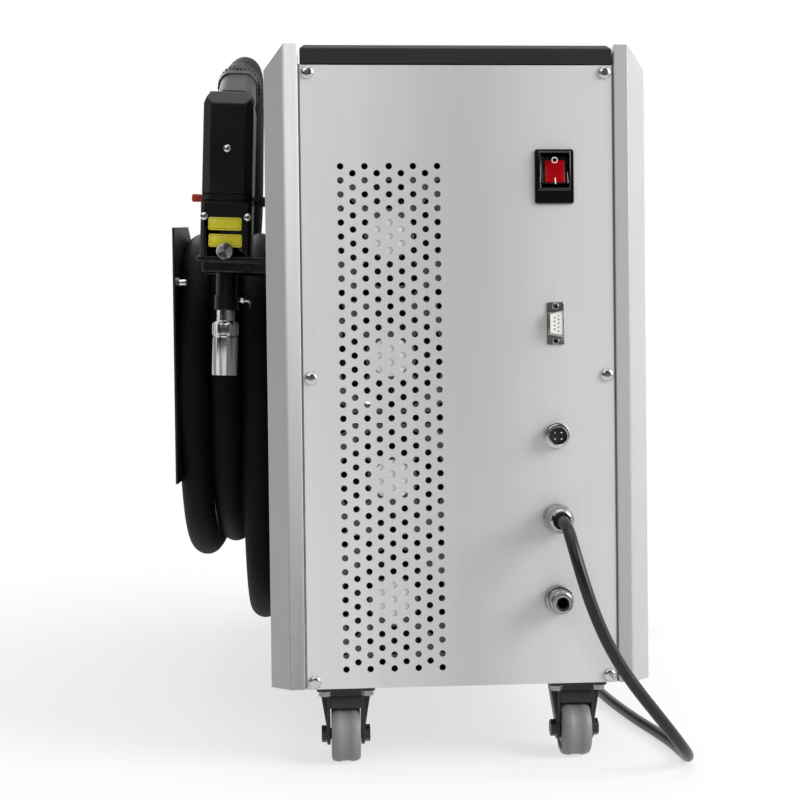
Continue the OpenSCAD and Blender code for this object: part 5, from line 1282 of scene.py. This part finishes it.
def fans(look):
    fan_size, count = 0.080, 4
    plastic = moulded("fan plastic", look.fan, 0.5)
    dress("fan_frames", plastic, 0.0005)
    disc_white = printed("blank disc", look.disc, 0.5)
    low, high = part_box("fan_frames")
    step = (high.z - low.z - fan_size) / (count - 1)
    x = (low.x + high.x) / 2
    spots = [(x, low.y, low.z + fan_size / 2 + step * i) for i in range(count)]
    disc = lathe(bmesh.new(), [
        (0, -0.0003), (0.0140, -0.0003), (0.0140, 0.0002), (0.0137, 0.0003), (0, 0.0003)], 40)
    put_up("fan_discs", on_points(disc, disc_white, spots, Tilt=REARWARD))
    rotor_plastic = moulded("rotor plastic", look.fan, 0.42)
    for index in range(count):
        node = "fan_rotor_%d" % (index + 1)
        low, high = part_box(node)
        centre, depth = middle(node), high.y - low.y
        rotor = lathe(bmesh.new(), [
            (0.00207, 0), (0.0160, 0), (0.0170, 0.001), (0.0170, depth), (0.0155, depth),
            (0.0155, 0.003), (0.00207, 0.003),
        ], 48)
        rotor.from_mesh(in_ring(fan_blade(depth), rotor_plastic, Count=7))
        outward(rotor)
        rotor.transform(Matrix.Translation((centre.x, low.y, centre.z)) @ TO_FRONT)
        stand_in(node, rotor, rotor_plastic)


# ---------------------------------------------------------------- castors


def castors(look, zinc):
    paint = powder_coat("castor paint", look.fork, 0.4)
    for node in ("rear_castor_forks", "front_castor_plates", "front_left_fork", "front_right_fork"):
        dress(node, paint, 0.0004)
    # the forks flare towards their plate, and a web joins their two legs
    cheeks = bmesh.new()
    for node in ("rear_left_wheel", "rear_right_wheel"):
        centre = middle(node)
        for side in (-1, 1):
            prism(cheeks, [(0.0120, 0.026), (0.0138, 0.024), (0.0186, 0.0538), (0.0120, 0.0538)],
                  -0.0070, 0.0070, Matrix.Translation((centre.x, centre.y, 0))
                  @ Matrix.Diagonal((side, 1, 1, 1)) @ TO_REAR)
        block(cheeks, (centre.x - 0.0115, centre.y - 0.0108, 0.0406),
              (centre.x + 0.0115, centre.y - 0.0090, 0.050))
    round_edges(outward(cheeks), 0.0003)
    put_up("rear_castor_cheeks", cheeks, paint)
    rubber = moulded("wheel grey", look.tyre, 0.48, grain=900, depth=0.00006)
    for node in ("rear_left_wheel", "rear_right_wheel", "front_left_wheel", "front_right_wheel"):
        low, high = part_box(node)
        half, r = (high.x - low.x) / 2, (high.z - low.z) / 2
        flank = [
            (r, half - 0.0066), (r * 0.995, half - 0.0042), (r * 0.975, half - 0.0022),
            (r * 0.93, half - 0.0006), (r * 0.87, half), (r * 0.77, half),
            (r * 0.755, half - 0.0004), (r * 0.72, half - 0.0016), (r * 0.56, half - 0.0016),
            (r * 0.51, half - 0.0001), (r * 0.48, half), (0.0046, half), (0.00405, half - 0.0005),
        ]
        tread = [(r - look.groove, -0.0030), (r - look.groove, 0.0030)]
        profile = [(x, -z) for x, z in reversed(flank)] + tread + flank
        place = Matrix.Translation(middle(node)) @ turned(90, "Y")
        wheel = lathe(bmesh.new(), profile, 96, place)
        stand_in(node, outward(wheel), rubber)
    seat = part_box("castor_bolts")[0].z + 0.004
    bolt = hex_head(0.009, 0.0034, 0.0006)
    lathe(bolt, [
        (0, -0.009), (0.0021, -0.009), (0.0025, -0.0085), (0.0025, 0.0002), (0, 0.0002)], 20)
    apart, spots = 0.0155, []
    for node in ("rear_left_wheel", "rear_right_wheel", "front_left_fork", "front_right_fork"):
        centre = middle(node)
        y = REAR_Y + 0.025 if "rear" in node else PIVOT_Y
        spots += [
            (centre.x + x * apart, y + d * apart, seat) for x in (-1, 1) for d in (-1, 1)
        ]
    stand_in("castor_bolts", on_points(
        outward(bolt), zinc, spots, Tilt=(math.pi, 0, 0), Spread=math.tau, Seed=3))


# ---------------------------------------------------------------- torch


def torch(look, bright):
    black = black_anodised("torch black", look.body)
    soft = moulded("grip rubber", look.body, 0.5, grain=700, depth=0.00008, gloss=0.3)
    for node, width in (
        ("torch_block", 0.0005), ("torch_housing", 0.0007), ("torch_tube", 0.0003),
        ("torch_clamp_ring", 0.0004),
    ):
        dress(node, black, width)
    dress("torch_grip", soft, 0.0008)
    dress("lens_drawer", black_anodised("drawer metal", linear(62, 62, 64)), 0.0003)
    red = moulded("button plastic", look.button, 0.4, gloss=0.2)
    dress("torch_trigger", red, 0.0008)
    place = on_torch(-0.0197, -0.0115, 0.04653) @ turned(-90, "Y")
    button = lathe(bmesh.new(), [
        (0, -0.0048), (0.0031, -0.0048), (0.0031, 0.0068), (0.0029, 0.0075), (0.0024, 0.0079),
        (0.0012, 0.0080), (0, 0.0080),
    ], 40, place)
    stand_in("torch_button", outward(button), red)
    torch_nozzle(look)
    clamp_lever(bright)
    drawer_knob(look)
    hose_nut(look)
    spots = [(x, TORCH_FACE, z) for x, z in ((-0.017, 0.03103), (0.017, 0.03103), (0, 0.08454))]
    stand_in("torch_screws", on_points(
        cross_screw(0.0062, 0.0016), bright, spots, TORCH, Tilt=REARWARD, Spread=1.2, Seed=5))
    lens_plates(look)


def torch_nozzle(look):
    """The bright nozzle, and the collar round its neck."""
    chrome = streaked_metal_painted_reflection("nozzle chrome", look.nozzle)
    nozzle = lathe(bmesh.new(), [
        (0.0020, -0.0940), (0.0088, -0.0940), (0.0098, -0.0936), (0.0103, -0.0925),
        (0.0103, -0.0634), (0.0099, -0.0628), (0.0096, -0.0622), (0.0096, -0.0514),
        (0.0090, -0.0507), (0.0078, -0.0505), (0.0074, -0.0498), (0.0074, -0.0470),
        (0.0071, -0.0467), (0.0071, -0.0461), (0.0074, -0.0458), (0.0074, -0.0416),
        (0.0071, -0.0413), (0.0071, -0.0354), (0.0060, -0.0354), (0.0060, -0.0880),
        (0.0020, -0.0910),
    ], 96, TORCH)
    stand_in("torch_nozzle", outward(nozzle), chrome, smooth=26)
    collar = lathe(bmesh.new(), [
        (0.0090, -0.0618), (0.0099, -0.0618), (0.0106, -0.0606), (0.0107, -0.0596),
        (0.0107, -0.0532), (0.0103, -0.0519), (0.0096, -0.0510), (0.0090, -0.0508),
    ], 96, TORCH, flutes=6, depth=0.0009)
    put_up("nozzle_collar", outward(collar), chrome, smooth=22)


def clamp_lever(bright):
    """The bent lever that locks the clamp ring, a sixth of the way up the ring."""
    ring_low, ring_h = -0.0354, 0.0118
    z = ring_h / 6 + ring_low
    start, reach, drop = 0.0103, 0.009, 0.005
    rod = [TORCH @ Vector(p) for p in (
        (0.0086, 0, z), (start + 0.003, 0, z), (start + reach - 0.0022, 0, z),
        (start + reach - 0.0006, 0, z - 0.0006), (start + reach, 0, z - 0.0022),
        (start + reach, 0, z - drop),
    )]
    lever = tube(bmesh.new(), smooth_path(rod, 0.0004), 0.001, 20)
    lathe(lever, [
        (0, 0.0003), (0.0017, 0.0003), (0.0020, 0.0008), (0.0020, 0.0038), (0.0016, 0.0043),
        (0.0011, 0.0046), (0, 0.0046),
    ], 32, on_torch(start, 0, z) @ turned(90, "Y"))
    stand_in("torch_clamp_lever", outward(lever), bright)


def drawer_knob(look):
    """The turned and knurled knob of the lens drawer."""
    place = on_torch(0, TORCH_FACE, 0.0035) @ TO_REAR
    knob = lathe(bmesh.new(), [
        (0, -0.0055), (0.0013, -0.0055), (0.0015, -0.0052), (0.0015, 0.0003), (0.0040, 0.0003),
        (0.0040, 0.0024), (0.0062, 0.0024), (0.0066, 0.0029), (0.0066, 0.0072),
        (0.0060, 0.0081), (0.0046, 0.0083), (0.0031, 0.0083), (0.0029, 0.0078), (0, 0.0078),
    ], 96, place, flutes=32, depth=0.0001)
    axis = (TORCH.to_3x3() @ Vector((0, -1, 0))).normalized()
    stand_in("lens_drawer_knob", outward(knob), turned_metal_painted_reflection(
        "turned knob", look.nozzle, place.translation, axis))


def hose_nut(look):
    """The nut that holds the hose at the end of the grip, with its ribs."""
    place = GRIP @ Matrix.Translation((0, 0.108, 0)) @ TO_FRONT
    nut = lathe(bmesh.new(), [
        (0, 0), (0.0172, 0), (0.0180, 0.0008), (0.0180, 0.0152), (0.0172, 0.0160),
        (0.0161, 0.0160), (0.0161, 0.0190), (0.0152, 0.0200), (0.0152, 0.0225),
        (0.0158, 0.0235), (0.0156, 0.0262), (0.0146, 0.0272), (0.0146, 0.0296),
        (0.0151, 0.0306), (0.0148, 0.0332), (0.0138, 0.0342), (0.0136, 0.0380), (0, 0.0380),
    ], 72, place)
    glossy = moulded("nut plastic", look.body, 0.5, gloss=0.2)
    stand_in("torch_hose_nut", outward(nut), glossy)
    rib = block(bmesh.new(), (0.0176, -0.0010, 0.0016), (0.0190, 0.0010, 0.0144))
    round_edges(rib, 0.0005)
    put_up("torch_hose_nut_ribs", in_ring(rib, glossy, place, Count=30))


def lens_plates(look):
    """Two blank plates on the lens block, each with a thin dark border."""
    plates, borders = bmesh.new(), bmesh.new()
    for x, z in ((-0.00065, 0.0255), (-0.00015, 0.0123)):
        place = on_torch(x, TORCH_FACE, z) @ TO_REAR
        w, h = look.plate_w, look.plate_h
        prism(plates, rounded(w, h, 0.0016), -0.0002, 0.0004, place)
        w, h, line = w / 2 - 0.0011, h / 2 - 0.0011, 0.0003
        for low, high in (
            ((-w, -h), (w, line - h)), ((-w, h - line), (w, h)),
            ((-w, -h), (line - w, h)), ((w - line, -h), (w, h)),
        ):
            block(borders, (*low, 0.0002), (*high, 0.00043), place)
    round_edges(outward(plates), 0.0001)
    put_up("lens_block_plates", plates, printed("yellow plate", look.plate, 0.3))
    put_up("lens_block_plate_borders", borders, printed("plate border", tone(look.plate, 0.22)))


def holder_and_rack(coat_black, bright):
    # edge 16 gives the holder a painted highlight along its edges, over their wear
    dress("torch_holder", black_anodised("holder black", linear(12, 12, 13), 0.4, 16), 0.0009)
    dress("hose_rack", coat_black, 0.0006)
    dark = plated("blackened bolt", linear(48, 48, 50), 0.35)
    bolts = hex_head(0.0056, 0.0018, 0.0004)
    spots = [at(-0.155, 0.112, 0.3678), at(-0.1475, 0.1295, 0.4246)]
    put_up("holder_bolts", on_points(bolts, dark, spots, Tilt=REARWARD, Spread=1.0))
    place = moved(-HALF_W - 0.081, 0.186, 0.3616) @ turned(90, "Y")
    stud = lathe(bmesh.new(), [
        (0, -0.0003), (0.0028, -0.0003), (0.0028, 0.0078), (0.0024, 0.0090), (0.0012, 0.0096),
        (0, 0.0096),
    ], 32, place)
    prism(stud, polygon(6, 0.0086), -0.0001, 0.0032, place)
    put_up("rack_stud", outward(stud), bright)
    rubber = moulded("outlet rubber", linear(24, 24, 25), 0.5)
    dress("hose_outlet", rubber, 0.0006)
    boot = at(*HOSE_OUT[0][:2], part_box("hose_outlet")[1].z)
    ring = lathe(bmesh.new(), [
        (0.0138, -0.0012), (0.0148, -0.0010), (0.0150, 0), (0.0148, 0.0010), (0.0138, 0.0012)], 48)
    put_up("hose_outlet_ribs", on_points(
        outward(ring), rubber, [boot - Vector((0, 0, 0.004 + 0.006 * i)) for i in range(5)]))


# ---------------------------------------------------------------- control side and inside


def control_side(look, cover, bright):
    dress("control_fascia", cover, 0.0004)
    frame_black = moulded("screen frame", linear(18, 18, 19), 0.35, coat=0.2)
    dress("touch_screen", frame_black, 0.0004)
    pane = prism(bmesh.new(), rounded(0.1236, 0.0756, 0.001), 0.0014, 0.0021,
                 on_slope(0, -0.148))
    round_edges(pane, 0.0002)
    put_up("touch_screen_pane", pane, dark_glass("screen glass", look.glass))
    stop = lathe(bmesh.new(), [
        (0, -0.0140), (0.0110, -0.0140), (0.0110, 0.0080), (0.0188, 0.0080), (0.0198, 0.0084),
        (0.0200, 0.0094), (0.0200, 0.0122), (0.0196, 0.0146), (0.0184, 0.0174),
        (0.0164, 0.0197), (0.0136, 0.0211), (0.0100, 0.0218), (0.0070, 0.0220), (0, 0.0220),
    ], 96, on_slope(-CONTROLS_X, CONTROLS_Y, 0.003))
    red = moulded("stop plastic", look.stop, 0.28, coat=0.5)
    stand_in("emergency_stop", outward(stop), red, smooth=40)
    start = lathe(bmesh.new(), [
        (0, -0.0060), (0.0085, -0.0060), (0.0085, 0.0056), (0.0081, 0.0063), (0.0072, 0.0065),
        (0.0060, 0.0064), (0.0052, 0.0061), (0, 0.0060),
    ], 64, on_slope(0, CONTROLS_Y))
    stand_in("start_button", outward(start), moulded("start plastic", look.start, 0.3, coat=0.4))
    dress("key_switch", bright, 0.0003)
    rings = bmesh.new()
    for x, r, high in (
        (-CONTROLS_X, 0.0150, 0.003), (CONTROLS_X, 0.0110, 0.007), (0, 0.0115, 0.0035)
    ):
        lathe(rings, [
            (r - 0.0011, high - 0.0012), (r + 0.0003, high - 0.0012), (r + 0.0003, high - 0.0002),
            (r, high + 0.0001), (r - 0.0011, high + 0.0001),
        ], 64, on_slope(x, CONTROLS_Y))
    put_up("control_rings", outward(rings), bright)


def inside(look):
    fins = plated("mill aluminium", linear(190, 191, 193), 0.4, 180, 0.2)
    tin = plated("supply sheet", linear(168, 170, 173), 0.38, 120, 0.2)
    coat("laser_module", fins)
    dress("power_supply", tin, 0.0008)
    coat("control_board", circuit_lacquer("board lacquer", look.board))
    low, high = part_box("control_board")
    chip = block(bmesh.new(), (-0.004, -0.006, 0), (0.004, 0.006, 0.0022))
    round_edges(chip, 0.0003)
    x = high.x - 0.0002
    spots = [
        (x, low.y + 0.022 + 0.023 * i, low.z + z) for i in range(6) for z in (0.026, 0.096)
    ]
    black = moulded("chip resin", linear(24, 24, 26), 0.5)
    put_up("board_chips", on_points(chip, black, spots, Tilt=(0, math.pi / 2, 0)))


# ---------------------------------------------------------------- stage


def seen_rays(f):
    """1 for the rays that show the background: to the camera, and by mirrors and glass."""
    path = f.add("ShaderNodeLightPath").socket.node
    rays = [Value(f, path.outputs[k]) for k in
            ("Is Camera Ray", "Is Glossy Ray", "Is Transmission Ray")]
    return rays[0].most(rays[1]).most(rays[2])


def room(look):
    """Even light from all round, white behind the machine and dimmer on it."""
    f = Finish("pale room", "worlds")
    light = f.add("ShaderNodeBackground", inputs={
        "Color": (1, 1, 1), "Strength": seen_rays(f) * (1 - look.sky) + look.sky})
    f.add("ShaderNodeOutputWorld", inputs={"Surface": light})
    return f.material


def floor_material(look):
    """A pale floor that turns into the white of the room a little way off."""
    f = Finish("floor")
    x, y, _ = f.axes(f.place())
    away = (((x - MIDDLE_X) ** 2.0) + (y * 0.8) ** 2.0) ** 0.5
    grain = f.noise(40, 3)
    pale = f.add("ShaderNodeBsdfDiffuse", inputs={
        "Color": f.mix(grain, look.floor, tone(look.floor, 1.01))})
    white = f.add("ShaderNodeEmission", inputs={"Color": (1, 1, 1), "Strength": 1.0})
    share_white = away.ramp(0.30, 0.85, 0.66, 1.0) * seen_rays(f)
    both = f.add("ShaderNodeMixShader", inputs={0: share_white, 1: pale, 2: white})
    f.add("ShaderNodeOutputMaterial", inputs={"Surface": both})
    return f.material


def lamp(name, place, target, power, side):
    """A square lamp: its place and target, its watts and the length of its side."""
    data = bpy.data.lights.new(name, "AREA")
    data.energy, data.size = power, side
    thing = new_object(name, data)
    thing.location = place
    way = Vector(target) - Vector(place)
    thing.rotation_euler = way.to_track_quat("-Z", "Y").to_euler()


def backdrop(name, corners, material):
    mesh = bpy.data.meshes.new(name)
    mesh.from_pydata(corners, [], [(0, 1, 2, 3)])
    mesh.materials.append(material)
    thing = new_object(name, mesh)
    return thing


def stage(look):
    scene = bpy.context.scene
    scene.view_settings.view_transform = "Standard"
    data = bpy.data.cameras.new("camera")
    data.lens = look.lens * 1000
    data.sensor_width = 36
    scene.camera = new_object("camera", data)
    aside, down, roll = turned(-3.56, "Z"), turned(90 - 1.10, "X"), turned(-0.68, "Z")
    scene.camera.matrix_world = (
        Matrix.Translation((-0.0641, -1.310, 0.2839)) @ aside @ down @ roll
    )
    scene.world = room(look)
    side = 6.0
    backdrop("floor", [(-side, -side, 0), (side, -side, 0), (side, side, 0), (-side, side, 0)],
             floor_material(look))
    lamp("key light", (2.5, -1.5, 1.5), (0, -0.3, 0.3), 96, 1.7)
    lamp("left light", (-0.7, -2.5, 1.7), (0, -0.3, 0.3), 11, 1.0)
    lamp("top light", (0.1, 0.1, 2.3), (0, 0, 0.3), 16, 1.6)
    lamp("far light", (-0.8, 2.2, 1.5), (0, 0, 0.3), 18, 1.2)
    f = Finish("dark wall")
    grain = f.noise(3, 2)
    dark = f.shine(f.mix(grain, (0.010, 0.010, 0.010), (0.02, 0.02, 0.02)), grain * 0.1 + 0.85)
    # only mirrors see these walls, which stand for the room behind the camera
    for name, (x0, y0), (x1, y1) in (
        ("wall behind the camera", (-3, -2.7), (3, -2.7)),
        ("wall to the left", (-3, -2.7), (-3, -0.9)),
        ("wall to the right", (3, -2.7), (3, -0.9)),
    ):
        wall = backdrop(name, [(x0, y0, 0), (x1, y1, 0), (x1, y1, 3), (x0, y0, 3)], dark)
        wall.visible_camera = wall.visible_diffuse = wall.visible_shadow = False
        wall.visible_transmission = wall.visible_volume_scatter = False


# ---------------------------------------------------------------- add-on


class WelderPieces:
    """What every operator here shares."""

    bl_options = {"REGISTER"}

    @classmethod
    def poll(cls, context):
        return context.scene is not None


def bright_metal():
    return plated("bright nickel", metal_colour(), 0.17, 420, 0.1)


class WELDER_OT_stage(WelderPieces, bpy.types.Operator):
    """Set up the camera, the lights, the pale floor and the room"""

    bl_idname = "welder.stage"
    bl_label = "Stage"

    def execute(self, context):
        stage(context.scene.welder_stage)
        return {"FINISHED"}


class WELDER_OT_cord(WelderPieces, bpy.types.Operator):
    """Lay the mains cord from its gland to the coil beside the cabinet, with its plug"""

    bl_idname = "welder.cord"
    bl_label = "Mains cord"

    def execute(self, context):
        rubber = moulded("plug rubber", context.scene.welder_cords.cord, 0.5)
        mains_cord(context.scene.welder_cords, rubber, bright_metal())
        return {"FINISHED"}


class WELDER_OT_hose(WelderPieces, bpy.types.Operator):
    """Hang the torch hose over its rack and up to the torch"""

    bl_idname = "welder.hose"
    bl_label = "Torch hose"

    def execute(self, context):
        torch_hose(context.scene.welder_cords)
        return {"FINISHED"}


class WELDER_OT_cabinet(WelderPieces, bpy.types.Operator):
    """Dress the cabinet's panels, cover, base and posts, and put in the panel screws"""

    bl_idname = "welder.cabinet"
    bl_label = "Cabinet"

    def execute(self, context):
        cabinet(context.scene.welder_cabinet)
        return {"FINISHED"}


class WELDER_OT_fans(WelderPieces, bpy.types.Operator):
    """Build the four fans behind the perforation"""

    bl_idname = "welder.fans"
    bl_label = "Fans"

    def execute(self, context):
        fans(context.scene.welder_rear)
        return {"FINISHED"}


class WELDER_OT_switch(WelderPieces, bpy.types.Operator):
    """Build the power switch with its red lens and its two marks"""

    bl_idname = "welder.switch"
    bl_label = "Power switch"

    def execute(self, context):
        power_switch(context.scene.welder_rear, moulded(
            "switch plastic", linear(8, 8, 9), 0.2, coat=0.3))
        return {"FINISHED"}


class WELDER_OT_connectors(WelderPieces, bpy.types.Operator):
    """Build the data connector and the signal socket"""

    bl_idname = "welder.connectors"
    bl_label = "Connectors"

    def execute(self, context):
        connectors(context.scene.welder_rear, bright_metal(), moulded(
            "insert plastic", linear(26, 26, 27), 0.5))
        return {"FINISHED"}


class WELDER_OT_pipes(WelderPieces, bpy.types.Operator):
    """Build the cord gland and the gas inlet with its valve"""

    bl_idname = "welder.pipes"
    bl_label = "Gland and gas inlet"

    def execute(self, context):
        cord_gland(plated("fitting nickel", tone(metal_colour(), 0.72), 0.12, 300, 0.08))
        gas_inlet()
        return {"FINISHED"}


class WELDER_OT_castors(WelderPieces, bpy.types.Operator):
    """Build the castors' forks, wheels and bolts"""

    bl_idname = "welder.castors"
    bl_label = "Castors"

    def execute(self, context):
        castors(context.scene.welder_castors, plated(
            "bolt zinc", context.scene.welder_cabinet.steel, 0.34, 260, 0.2))
        return {"FINISHED"}


class WELDER_OT_torch(WelderPieces, bpy.types.Operator):
    """Build the hand torch from its nozzle to the hose nut"""

    bl_idname = "welder.torch"
    bl_label = "Torch"

    def execute(self, context):
        torch(context.scene.welder_torch, bright_metal())
        return {"FINISHED"}


class WELDER_OT_holders(WelderPieces, bpy.types.Operator):
    """Build the torch holder, the hose rack and the hose outlet"""

    bl_idname = "welder.holders"
    bl_label = "Holder, rack and outlet"

    def execute(self, context):
        black = powder_coat("rack coat", context.scene.welder_cabinet.cover, 0.4)
        holder_and_rack(black, bright_metal())
        return {"FINISHED"}


class WELDER_OT_controls(WelderPieces, bpy.types.Operator):
    """Build the sloping fascia with its screen, switches and buttons"""

    bl_idname = "welder.controls"
    bl_label = "Controls"

    def execute(self, context):
        cover = powder_coat("fascia coat", context.scene.welder_cabinet.cover, 0.42)
        control_side(context.scene.welder_controls, cover, bright_metal())
        return {"FINISHED"}


class WELDER_OT_inside(WelderPieces, bpy.types.Operator):
    """Give the laser module, the power supply and the control board their finish"""

    bl_idname = "welder.inside"
    bl_label = "Inside"

    def execute(self, context):
        inside(context.scene.welder_controls)
        return {"FINISHED"}


OPERATORS = (
    WELDER_OT_stage, WELDER_OT_cord, WELDER_OT_hose, WELDER_OT_cabinet, WELDER_OT_fans,
    WELDER_OT_switch, WELDER_OT_connectors, WELDER_OT_pipes, WELDER_OT_castors,
    WELDER_OT_torch, WELDER_OT_holders, WELDER_OT_controls, WELDER_OT_inside,
)
SETTINGS = {
    "welder_cabinet": CabinetLook, "welder_rear": RearLook, "welder_castors": CastorLook,
    "welder_torch": TorchLook, "welder_cords": CordLook, "welder_controls": ControlLook,
    "welder_stage": StageLook,
}


class WELDER_PT_pieces(bpy.types.Panel):
    """Lists the settings and what builds each group of pieces"""

    bl_label = "Laser welding machine"
    bl_space_type = "VIEW_3D"
    bl_region_type = "UI"
    bl_category = "Welder"

    def draw(self, context):
        for key in SETTINGS:
            group = getattr(context.scene, key)
            box = self.layout.box()
            for name in group.bl_rna.properties.keys():
                if name not in ("rna_type", "name"):
                    box.prop(group, name)
        for operator in OPERATORS:
            self.layout.operator(operator.bl_idname)


def register():
    for group in SETTINGS.values():
        bpy.utils.register_class(group)
    for key, group in SETTINGS.items():
        setattr(bpy.types.Scene, key, bpy.props.PointerProperty(type=group))
    for kind in (*OPERATORS, WELDER_PT_pieces):
        bpy.utils.register_class(kind)


def unregister():
    for kind in (WELDER_PT_pieces, *reversed(OPERATORS)):
        bpy.utils.unregister_class(kind)
    for key, group in SETTINGS.items():
        delattr(bpy.types.Scene, key)
        bpy.utils.unregister_class(group)


def main():
    register()
    for operator in OPERATORS:
        group, name = operator.bl_idname.split(".")
        getattr(getattr(bpy.ops, group), name)()


if __name__ == "__main__":
    main()
